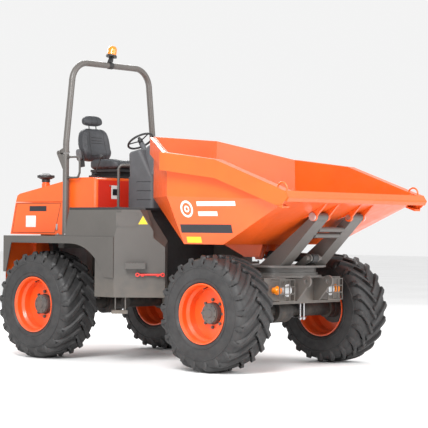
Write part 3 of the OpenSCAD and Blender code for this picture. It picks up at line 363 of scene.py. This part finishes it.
LUGS = 21
AROUND = 96  # facets round a tyre
TREAD_DEPTH = 0.03
LUG_SWEEP = math.radians(23)
LUG_SLANT = math.radians(38)
ON_SIDEWALL = 7  # a lug's stations from this one on lie on the sidewall


def tyre(name, x, y, side):
    """A flotation tyre: carcass spun from its section, and curved bar lugs set as chevrons."""
    h, r, rim = TYRE_HALF, TYRE_R, RIM_R
    tread = r - TREAD_DEPTH
    outer = [(rim - 0.012, h - 0.034), (rim + 0.004, h - 0.031), (rim + 0.012, h - 0.016),
             (rim + 0.03, h - 0.006), (rim + 0.06, h - 0.001), (rim + 0.1, h), (r - 0.14, h - 0.002),
             (r - 0.095, h - 0.008), (r - 0.06, h - 0.022), (tread - 0.012, h - 0.045),
             (tread - 0.003, h - 0.09), (tread, 0.0)]
    inner = [(r - 0.05, 0.0), (r - 0.06, h - 0.1), (r - 0.1, h - 0.03), (rim + 0.06, h - 0.022),
             (rim + 0.004, h - 0.07), (rim - 0.012, h - 0.1)]
    ring = outer + [(a, -b) for a, b in reversed(outer[:-1])]
    ring += [(a, -b) for a, b in reversed(inner)] + inner[1:]
    bm = bmesh.new()
    verts = [bm.verts.new((0, b, a)) for a, b in ring]
    loop = [bm.edges.new((verts[i], verts[(i + 1) % len(verts)])) for i in range(len(verts))]
    bmesh.ops.spin(bm, geom=verts + loop, cent=(0, 0, 0), axis=(0, 1, 0), angle=math.tau,
                   steps=AROUND, use_merge=True)
    # Raised rings on both sidewalls
    for s in (-1, 1):
        for r0, wide, tall in ((rim + 0.045, 0.006, 0.002), (r - 0.125, 0.008, 0.0016)):
            foot = s * (h - 0.004)
            crest = s * (h + tall)
            edge = [bm.verts.new(c) for c in ((0, foot, r0 - wide), (0, crest, r0 - wide / 2),
                                              (0, crest, r0 + wide / 2), (0, foot, r0 + wide))]
            lines = [bm.edges.new((edge[i], edge[(i + 1) % 4])) for i in range(4)]
            bmesh.ops.spin(bm, geom=edge + lines, cent=(0, 0, 0), axis=(0, 1, 0), angle=math.tau,
                           steps=AROUND, use_merge=True)
    # One lug as a bar swept from the middle of the tread over the shoulder
    path = [(0.0, -0.018, r, 0.024), (0.12, 0.025, r, 0.024), (0.3, 0.065, r - 0.001, 0.025),
            (0.5, 0.11, r - 0.002, 0.027), (0.7, 0.155, r - 0.005, 0.030), (0.86, 0.19, r - 0.010, 0.033),
            (1.0, h - 0.028, r - 0.020, 0.036), (1.07, h - 0.006, r - 0.042, 0.038),
            (1.1, h + 0.001, r - 0.075, 0.036), (1.1, h + 0.001, r - 0.105, 0.026)]
    sweep = LUG_SWEEP * side
    for s in (-1, 1):
        lug = bmesh.new()
        face = None
        for i, (t, yy, top, half_wide) in enumerate(path):
            lead = s * 0.5 * math.tau / (2 * LUGS) - sweep * min(1.0, t) ** 0.85
            on_tread = i < ON_SIDEWALL
            base_y = yy if on_tread else yy - 0.02
            base_r = top - 0.045 if on_tread else top - 0.02
            slant = math.sin(LUG_SLANT) * (0.6 if on_tread else 0.0) * side
            d = half_wide / r
            corners = []
            for rr, vy, ww in ((base_r, base_y, d * 1.25), (top, yy, d * 0.82),
                               (top, yy, -d * 0.82), (base_r, base_y, -d * 1.25)):
                a = lead + ww * math.cos(LUG_SLANT)
                corners.append(Vector((rr * math.sin(a), s * (vy + ww * r * slant), rr * math.cos(a))))
            if face is None:
                face = lug.faces.new([lug.verts.new(c) for c in corners])
            else:
                grown = bmesh.ops.extrude_face_region(lug, geom=[face])["geom"]
                face = [g for g in grown if isinstance(g, bmesh.types.BMFace)][0]
                for v, c in zip(face.verts, corners):
                    v.co = c
        bmesh.ops.recalc_face_normals(lug, faces=lug.faces)
        corner_edges = [e for e in lug.edges if e.is_manifold and e.calc_face_angle(0) > 0.6]
        bmesh.ops.bevel(lug, geom=corner_edges, offset=0.004, segments=1, profile=0.5, affect="EDGES",
                        material=-1)
        bmesh.ops.spin(lug, geom=lug.verts[:] + lug.edges[:] + lug.faces[:], cent=(0, 0, 0),
                       axis=(0, 1, 0), angle=math.tau * (LUGS - 1) / LUGS, steps=LUGS - 1,
                       use_duplicate=True)
        scrap = bpy.data.meshes.new("lug_ring")
        lug.to_mesh(scrap)
        lug.free()
        bm.from_mesh(scrap)
        bpy.data.meshes.remove(scrap)
    bmesh.ops.translate(bm, verts=bm.verts, vec=(x, y, AXLE_Z))
    body = name.replace("tyre_", "wheel_")
    made = piece("lugged_" + name, bm, body, "tyre_rubber", angle=40)
    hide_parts(name)


for end, hand, side in WHEEL_PLACES:
    low, high = corners_of(f"tyre_{end}_{hand}")
    tyre(f"tyre_{end}_{hand}", (low.x + high.x) / 2, (low.y + high.y) / 2, side)

# ---------------------------------------------------------------- seat

joints = frame["record"]["behaviour"]["joints"]
recline_at = next(Vector(j["pos_m"]) for j in joints if j["name"] == "backrest_recline")
BACK_TILT = Matrix.Translation(recline_at) @ Matrix.Rotation(math.radians(-8), 4, "Y")


def rounded_block(half, power, cuts=14):
    """A block with superellipse corners, centred on nothing, as a bmesh."""
    bm = bmesh.new()
    bmesh.ops.create_cube(bm, size=2.0)
    bmesh.ops.subdivide_edges(bm, edges=bm.edges[:], cuts=cuts, use_grid_fill=True)
    for v in bm.verts:
        a, b, c = (abs(x) for x in v.co)
        v.co *= 1.0 / max(1e-6, (a ** power + b ** power + c ** power) ** (1.0 / power))
    bmesh.ops.scale(bm, verts=bm.verts, vec=half)
    return bm


def swollen(obj, voxel, cap, pressure=4.0):
    """Cloth inflated a little from inside, with its result applied to the mesh."""
    mesh_work = obj.modifiers.new("even_mesh", "REMESH")
    mesh_work.mode = "VOXEL"
    mesh_work.voxel_size = voxel
    graph = bpy.context.evaluated_depsgraph_get()
    even = bpy.data.meshes.new_from_object(obj.evaluated_get(graph))
    obj.modifiers.clear()
    even.materials.clear()
    even.materials.append(obj.data.materials[0])
    obj.data = even
    rest = [v.co.copy() for v in even.vertices]
    cloth = obj.modifiers.new("cover", "CLOTH")
    cloth.settings.use_pressure = True
    cloth.settings.uniform_pressure_force = pressure
    cloth.settings.effector_weights.gravity = 0
    cloth.settings.quality = 4
    cloth.settings.tension_stiffness = 8
    for step in range(1, 21):
        bpy.context.scene.frame_set(step)
    graph = bpy.context.evaluated_depsgraph_get()
    puffed = [v.co.copy() for v in obj.evaluated_get(graph).data.vertices]
    obj.modifiers.clear()
    bpy.context.scene.frame_set(1)
    for v, was, now in zip(even.vertices, rest, puffed):
        moved = now - was
        if moved.length > cap:
            moved *= cap / moved.length
        v.co = was + moved
    even.shade_smooth()
    finer = obj.modifiers.new("finer", "SUBSURF")
    finer.levels = finer.render_levels = 1


def seam_on(bm, target, points, toward, radius=0.0022):
    """A piped seam laid on the surface of target by looking at it along toward."""
    graph = bpy.context.evaluated_depsgraph_get()
    tree = BVHTree.FromObject(target, graph)
    hits = []
    for p in points:
        hit = tree.ray_cast(Vector(p), Vector(toward))
        if hit[0] is not None:
            hits.append(hit[0] - Vector(toward).normalized() * radius * 0.1)
    if len(hits) > 2:
        tube_into(bm, hits, radius, 8)


def along(a, b, n=24):
    """Points from a to b."""
    a, b = Vector(a), Vector(b)
    return [a.lerp(b, i / n) for i in range(n + 1)]


def pad(name, node, body, half, centre, power, shape, turn=None, cap=0.012, voxel=0.007,
        slot="seat_cover"):
    """A padded seat part: shaped block, swollen, and standing for its CAD node, which it hides."""
    bm = rounded_block(half, power)
    for v in bm.verts:
        shape(v.co, half)
    bmesh.ops.translate(bm, verts=bm.verts, vec=centre)
    if turn:
        bmesh.ops.transform(bm, verts=bm.verts, matrix=turn)
    obj = piece(name, bm, body, slot)
    swollen(obj, voxel, cap)
    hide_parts(node)
    return obj


def cushion_shape(co, half):
    """Raised sides, a hollow middle and a rounded front edge."""
    side = abs(co.y) / half[1]
    front = co.x / half[0]
    if co.z > 0:
        co.z += 0.016 * max(0.0, side - 0.5) * 2 - 0.012 * (1 - side) * (1 - abs(front))
        co.z -= 0.018 * max(0.0, front - 0.55) * 2
    co.y *= 1.0 - 0.07 * max(0.0, -front)


def back_shape(co, half):
    """Narrower towards the top, with side wings and a lumbar roll."""
    up = co.z / half[2]
    side = abs(co.y) / half[1]
    co.y *= 1.0 - 0.16 * max(0.0, up) ** 1.4 - 0.05 * max(0.0, -up)
    if co.x > 0:
        lumbar = 0.012 * math.exp(-((up + 0.45) / 0.3) ** 2)
        co.x += 0.022 * max(0.0, side - 0.5) * 2 - 0.014 * (1 - side) + lumbar


def head_shape(co, half):
    """Narrower and thinner towards the top."""
    up = co.z / half[2]
    co.y *= 1.0 - 0.20 * max(0.0, up) ** 1.5
    co.x *= 1.0 - 0.2 * max(0.0, up)


def arm_shape(co, half):
    """Thinner towards the front."""
    co.z *= 1.0 - 0.15 * max(0.0, co.x / half[0])


low, high = corners_of("seat_cushion")
cushion_mid, cushion_half = (low + high) / 2, (high - low) / 2
SWELL_ROOM = Vector((0.006, 0.006, 0.006))
cushion = pad("seat_cushion_pad", "seat_cushion", "seat_slide", cushion_half - SWELL_ROOM,
              cushion_mid, 5, cushion_shape)
backrest = pad("backrest_pad", "seat_back", "backrest", Vector((0.055, 0.229, 0.204)),
               Vector((-0.049, 0, 0.232)), 4.5, back_shape, BACK_TILT)
head = pad("headrest_pad", "headrest", "backrest", Vector((0.043, 0.146, 0.058)),
           Vector((-0.045, 0, 0.517)), 3.6, head_shape, BACK_TILT, cap=0.006, voxel=0.006)
pad("armrest_pad_soft", "armrest", "armrest_pad", Vector((0.032, 0.024, 0.068)),
    Vector((-0.026, -0.272, 0.104)), 3.5, arm_shape, BACK_TILT, cap=0.003, voxel=0.005,
    slot="armrest_pad")

seams = bmesh.new()
top_of_seat = cushion_mid.z + 0.2
hx, hy = cushion_half.x * 0.86, cushion_half.y * 0.62
for y in (-hy, hy):
    line = along((cushion_mid.x - hx, y, top_of_seat), (cushion_mid.x + hx, y, top_of_seat))
    seam_on(seams, cushion, line, -Z_AXIS)
for x in (cushion_mid.x - 0.1, cushion_mid.x, cushion_mid.x + 0.1):
    line = along((x, -hy, top_of_seat), (x, hy, top_of_seat))
    seam_on(seams, cushion, line, -Z_AXIS)
piece("seat_cushion_seams", seams, "seat_slide", "seat_cover", finish=finishes["black_rubber"])

seams = bmesh.new()
forward = BACK_TILT.to_3x3() @ X_AXIS
for y in (-0.125, 0.125):
    line = along(BACK_TILT @ Vector((0.3, y, 0.05)), BACK_TILT @ Vector((0.3, y * 0.86, 0.41)))
    seam_on(seams, backrest, line, -forward)
for z, wide in ((0.10, 0.115), (0.245, 0.085), (0.275, 0.085), (0.31, 0.085)):
    line = along(BACK_TILT @ Vector((0.3, -wide, z)), BACK_TILT @ Vector((0.3, wide, z)))
    seam_on(seams, backrest, line, -forward, 0.003)
for y in (-0.045, 0.045):
    line = along(BACK_TILT @ Vector((0.3, y, 0.46)), BACK_TILT @ Vector((0.3, y * 0.8, 0.565)))
    seam_on(seams, head, line, -forward, 0.0018)
piece("backrest_seams", seams, "backrest", "seat_cover", finish=finishes["black_rubber"])

# Backrest shell, headrest stalks, recliner plates and the armrest's pivot
shell = bmesh.new()
for y in (-0.055, 0.055):
    rod_into(shell, (-0.045, y, 0.39), (-0.045, y, 0.49), 0.006, 16)
box_into(shell, (-0.104, -0.17, 0.05), (-0.088, 0.17, 0.38))
for y in (-0.2, 0.2):
    box_into(shell, (-0.085, y - 0.006, -0.03), (-0.02, y + 0.006, 0.12))
rod_into(shell, (-0.04, -0.262, 0.06), (-0.04, -0.19, 0.06), 0.014, 24)
bmesh.ops.transform(shell, verts=shell.verts, matrix=BACK_TILT)
soften(piece("backrest_shell", shell, "backrest", "black_plastic"), 0.004)

# Rubber bellows round the suspension
FOLDS, FOLD_OUT, BELLOWS_TALL, BELLOWS_HALF = 8, 0.012, 0.052, 0.165
bellows_foot = corners_of("seat_suspension")[1].z - 0.079
bellows = bmesh.new()
rings = []
for i in range(FOLDS + 1):
    out = FOLD_OUT if i % 2 else 0.0
    z = bellows_foot + i * BELLOWS_TALL / FOLDS
    x0, x1, y1 = cushion_mid.x - 0.215 - out, cushion_mid.x + 0.2 + out, BELLOWS_HALF + out
    ring = [bellows.verts.new((x, y, z)) for x, y in ((x0, -y1), (x1, -y1), (x1, y1), (x0, y1))]
    rings.append([bellows.edges.new((ring[k], ring[(k + 1) % 4])) for k in range(4)])
for first, second in zip(rings, rings[1:]):
    bmesh.ops.bridge_loops(bellows, edges=first + second)
bmesh.ops.holes_fill(bellows, edges=bellows.edges[:], sides=4)
soften(piece("suspension_bellows", bellows, "rear_unit", "black_rubber", smooth=False), 0.003)

# ---------------------------------------------------------------- body details


FILM_LIFT, FILM_THICK = 0.0006, 0.0008
BESIDE = -2.0  # a station well to the machine's right, from which films are laid on it


def film(bm, surface, points, faces, toward):
    """A thin film laid on a surface: points are cast along toward and joined by faces."""
    toward = Vector(toward).normalized()
    laid = []
    for p in points:
        hit = surface.ray_cast(Vector(p), toward)[0]
        laid.append(bm.verts.new(hit - toward * FILM_LIFT))
    made = [bm.faces.new([laid[i] for i in face]) for face in faces]
    grown = bmesh.ops.extrude_face_region(bm, geom=made)["geom"]
    outer = [g for g in grown if isinstance(g, bmesh.types.BMVert)]
    bmesh.ops.translate(bm, verts=outer, vec=-toward * FILM_THICK)


def film_strip(bm, surface, x0, x1, z0, z1, columns=8, rows=3):
    """A rectangular film on the machine's right side."""
    points = [(x0 + (x1 - x0) * i / columns, BESIDE, z0 + (z1 - z0) * k / rows)
              for k in range(rows + 1) for i in range(columns + 1)]
    wide = columns + 1
    faces = [(k * wide + i, k * wide + i + 1, (k + 1) * wide + i + 1, (k + 1) * wide + i)
             for k in range(rows) for i in range(columns)]
    film(bm, surface, points, faces, Y_AXIS)


def film_ring(bm, surface, x, z, inner, outer, steps=48):
    """A ring-shaped film on the machine's right side."""
    turns = [math.tau * i / steps for i in range(steps)]
    points = [(x + radius * math.cos(a), BESIDE, z + radius * math.sin(a))
              for radius in (inner, outer) for a in turns]
    faces = [(i, (i + 1) % steps, steps + (i + 1) % steps, steps + i) for i in range(steps)]
    film(bm, surface, points, faces, Y_AXIS)


def surface_of(node):
    """The surface of a CAD node, for laying films on."""
    return BVHTree.FromObject(frame["nodes"][node], bpy.context.evaluated_depsgraph_get())


hood_low, hood_high = corners_of("engine_enclosure")
HOOD_Y = hood_high.y
# Seams of the side doors, and their catches
doors = bmesh.new()
for s in (-1, 1):
    y = s * HOOD_Y
    frame_line = [(hood_low.x + 0.035, y, hood_low.z + 0.02), (hood_low.x + 0.108, y, hood_high.z - 0.012),
                  (hood_high.x - 0.06, y, hood_high.z - 0.012), (hood_high.x - 0.16, y, hood_low.z + 0.02)]
    for a, b in zip(frame_line, frame_line[1:] + frame_line[:1]):
        rod_into(doors, a, b, 0.0028, 8)
piece("side_door_seams", doors, "rear_unit", "black_rubber")
catches = bmesh.new()
for s in (-1, 1):
    y = s * HOOD_Y
    box_into(catches, (hood_high.x - 0.132, min(y, y + s * 0.012), hood_low.z + 0.05),
             (hood_high.x - 0.108, max(y, y + s * 0.012), hood_low.z + 0.12))
soften(piece("side_door_catches", catches, "rear_unit", "bright_steel"), 0.003)

# Bolts: hoop feet, seat-base panel, counterweight
bolts = bmesh.new()
post_low, post_high = corners_of("rops_posts")
for s in (-1, 1):
    for x in (post_low.x + 0.075, post_high.x - 0.022):
        for y in (post_high.y - 0.02, post_high.y - 0.135):
            bolt_into(bolts, (x, s * y, post_low.z + 0.0135), (0, 0, 1), 0.011)
panel_low, panel_high = corners_of("seat_base")
for y in (-0.42, 0.42):
    bolt_into(bolts, (panel_high.x, y, panel_high.z - 0.09), (1, 0, 0), 0.007)
for y in (-0.45, 0.45):
    bolt_into(bolts, (corners_of("counterweight")[0].x, y, 1.15), (-1, 0, 0), 0.02)
piece("body_bolts", bolts, "rear_unit", "bright_steel", angle=25)

# Plain stickers with nothing written on them, and a thin red film on the seat base's front face that is
# painted shade
panel = bmesh.new()
box_into(panel, (panel_high.x + 0.0001, -0.60, panel_low.z + 0.305),
         (panel_high.x + 0.0016, 0.60, panel_high.z - 0.03))
# This red film is painted shade on the front-facing face of the seat base, not a separate panel
panel = piece("seat_front_painted_shade", panel, "rear_unit", "orange_paint", finish=finishes["front_face_painted_shade"])
soften(panel, 0.0006)
labels = bmesh.new()
front_x = panel_high.x + 0.0017
for y0, y1, z0, z1 in ((-0.40, -0.28, 1.75, 1.90), (-0.12, 0.02, 1.73, 1.80)):
    box_into(labels, (front_x, y0, z0), (front_x + 0.001, y1, z1))
y = -HOOD_Y
box_into(labels, (hood_low.x + 0.27, y - 0.001, 1.43), (hood_low.x + 0.44, y - 0.0002, 1.56))
piece("pale_stickers", labels, "rear_unit", "panel_grey", smooth=False, finish=finishes["label_white"])
labels = bmesh.new()
box_into(labels, (hood_low.x + 0.33, y - 0.001, 1.61), (hood_low.x + 0.62, y - 0.0002, 1.67))
box_into(labels, (front_x + 0.0012, -0.38, 1.79), (front_x + 0.0018, -0.30, 1.86))
piece("dark_stickers", labels, "rear_unit", "panel_grey", smooth=False, finish=finishes["label_dark"])

# Films on the skip's right side: a dark band, two rings, two bars and a label
skip_side = surface_of("skip_tub")
skip_film = bmesh.new()
film_strip(skip_film, skip_side, 0.72, 1.42, 1.385, 1.47, 14)
piece("skip_dark_band", skip_film, "skip", "orange_paint", smooth=False, finish=finishes["label_dark"])
skip_film = bmesh.new()
film_ring(skip_film, skip_side, 0.85, 1.625, 0.062, 0.085)
film_ring(skip_film, skip_side, 0.85, 1.625, 0.018, 0.034)
film_strip(skip_film, skip_side, 1.00, 1.52, 1.655, 1.70)
film_strip(skip_film, skip_side, 1.00, 1.26, 1.555, 1.60)
piece("skip_white_films", skip_film, "skip", "orange_paint", smooth=False, finish=finishes["label_white"])
skip_film = bmesh.new()
film_strip(skip_film, skip_side, 0.78, 0.98, 1.285, 1.345)
piece("skip_yellow_label", skip_film, "skip", "orange_paint", smooth=False, finish=finishes["label_yellow"])

# A plain yellow triangle in front of the cover on the right waist panel
cover_low, cover_high = corners_of("access_cover")
across = Vector((cover_high.x - cover_low.x, cover_high.y - cover_low.y, 0)).normalized()
outward = across.cross(Z_AXIS).normalized()
sign = Vector((cover_high.x, cover_high.y, 0)) + across * 0.05 + outward * 0.4
triangle = bmesh.new()
triangle_points = [sign + across * 0.05 * a + Z_AXIS * z for a, z in ((-1, 1.468), (1, 1.468), (0, 1.556))]
film(triangle, surface_of("side_box_right"), triangle_points, [(0, 1, 2)], -outward)
piece("waist_yellow_triangle", triangle, "rear_unit", "frame_grey", smooth=False,
      finish=finishes["label_yellow"])

# Hub caps with their bolts, and tyre valves
CAP_BOLTS, CAP_BOLT_CIRCLE = 8, 0.078
for end, hand, side in WHEEL_PLACES:
    low, high = corners_of(f"hub_{end}_{hand}")
    hub_mid = (low + high) / 2
    face_y = high.y if side > 0 else low.y
    trim = bmesh.new()
    for i in range(CAP_BOLTS):
        a = math.tau * (i + 0.5) / CAP_BOLTS
        at = (hub_mid.x + CAP_BOLT_CIRCLE * math.cos(a), face_y, hub_mid.z + CAP_BOLT_CIRCLE * math.sin(a))
        bolt_into(trim, at, (0, side, 0), 0.007)
    rod_into(trim, (hub_mid.x, face_y - side * 0.002, hub_mid.z),
             (hub_mid.x, face_y + side * 0.006, hub_mid.z), 0.045, 40, 0.04)
    piece(f"hub_cap_{end}_{hand}", trim, f"wheel_{end}_{hand}", "hub_grey", angle=25)
    valve = bmesh.new()
    low, high = corners_of(f"rim_{end}_{hand}")
    rim_y = high.y if side > 0 else low.y
    for back, back_z, front, front_z, radius in ((0.09, 0.262, 0.05, 0.25, 0.005),
                                                 (0.052, 0.25, 0.036, 0.246, 0.0065)):
        rod_into(valve, (hub_mid.x, rim_y - side * back, hub_mid.z + back_z),
                 (hub_mid.x, rim_y - side * front, hub_mid.z + front_z), radius, 12)
    piece(f"tyre_valve_{end}_{hand}", valve, f"wheel_{end}_{hand}", "black_rubber")

# Non-slip bars on the floor
grip = bmesh.new()
floor_low, floor_high = corners_of("platform")
for i in range(13):
    for s in (-1, 1):
        for k in range(6):
            x = floor_low.x + 0.05 + i * 0.05
            y = s * (0.67 + k * 0.055)
            turn = Matrix.Rotation(math.radians(45 if (i + k) % 2 else -45), 3, "Z")
            box_into(grip, (x - 0.014, y - 0.003, floor_high.z - 0.001),
                     (x + 0.014, y + 0.003, floor_high.z + 0.0015), turn, (x, y, floor_high.z))
piece("floor_grip", grip, "rear_unit", "black_plastic", smooth=False)

# Weld beads under the skip's rim
BEAD_Y, BEAD_RIPPLE = 1.029, 0.0016
beads = bmesh.new()
for s in (-1, 1):
    path = along((0.62, s * BEAD_Y, 2.012), (1.34, s * BEAD_Y, 1.924), 60)
    rippled = [p + Z_AXIS * (BEAD_RIPPLE * math.sin(i * 2.4)) for i, p in enumerate(path)]
    tube_into(beads, rippled, 0.004, 8)
piece("rim_weld_beads", beads, "skip", "orange_paint")

# ---------------------------------------------------------------- camera, light, floor

CAMERA_AT = Vector((11.799, -12.654, 1.426))
YAW, UP, ROLL = math.radians(41.87), math.radians(0.96), math.radians(0.49)
LENS_MM, SENSOR_MM = 132.99, 36.0
SHIFT_X, SHIFT_Y = -0.0226, -0.0269
look = Vector((-math.sin(YAW) * math.cos(UP), math.cos(YAW) * math.cos(UP), math.sin(UP)))
right = look.cross(Z_AXIS).normalized()
upward = right.cross(look)
right, upward = (right * math.cos(ROLL) + upward * math.sin(ROLL),
                 upward * math.cos(ROLL) - right * math.sin(ROLL))
camera = bpy.data.objects.new("camera", bpy.data.cameras.new("camera"))
camera.data.lens = LENS_MM
camera.data.sensor_width = SENSOR_MM
camera.data.shift_x = SHIFT_X
camera.data.shift_y = SHIFT_Y
camera.data.clip_end = 200
camera.matrix_world = Matrix((
    (right.x, upward.x, -look.x, CAMERA_AT.x), (right.y, upward.y, -look.y, CAMERA_AT.y),
    (right.z, upward.z, -look.z, CAMERA_AT.z), (0, 0, 0, 1)))
bpy.context.scene.collection.objects.link(camera)
bpy.context.scene.camera = camera


def area_light(name, at, aim, size, power, colour=(1, 1, 1)):
    """A square soft light."""
    lamp = bpy.data.lights.new(name, "AREA")
    lamp.shape = "SQUARE"
    lamp.size = size
    lamp.energy = power
    lamp.color = colour
    obj = bpy.data.objects.new(name, lamp)
    obj.location = at
    obj.rotation_euler = (Vector(aim) - Vector(at)).to_track_quat("-Z", "Y").to_euler()
    bpy.context.scene.collection.objects.link(obj)


area_light("key", (4.5, -8.5, 8.0), (0, 0, 1.2), 5.0, 1500)
area_light("fill", (10.0, 3.0, 5.0), (0, 0, 1.2), 6.0, 650)
area_light("rim_light", (-8.0, 5.0, 7.0), (0, 0, 1.5), 5.0, 700)
area_light("low_fill", (5.0, -9.0, 0.8), (0, 0, 0.8), 4.0, 260)

world = bpy.data.worlds.new("studio")
world.use_nodes = True
backdrop = world.node_tree.nodes["Background"]
backdrop.inputs["Color"].default_value = (1, 1, 1, 1)
backdrop.inputs["Strength"].default_value = 0.9
bpy.context.scene.world = world
bpy.context.scene.view_settings.view_transform = "Standard"

floor_bm = bmesh.new()
bmesh.ops.create_grid(floor_bm, x_segments=2, y_segments=2, size=60)
floor_mesh = bpy.data.meshes.new("floor")
floor_bm.to_mesh(floor_mesh)
floor_bm.free()
floor = bpy.data.objects.new("floor", floor_mesh)
bpy.context.scene.collection.objects.link(floor)
floor_finish, floor_tree, floor_shader = finish_nodes("pale_floor")
floor_tree.links.new(ramp(floor_tree, noise_on(floor_tree, 0.6), (0.86, 0.86, 0.86), (0.9, 0.9, 0.9)),
                     floor_shader.inputs["Base Color"])
floor_shader.inputs["Roughness"].default_value = 0.9
floor_mesh.materials.append(floor_finish)
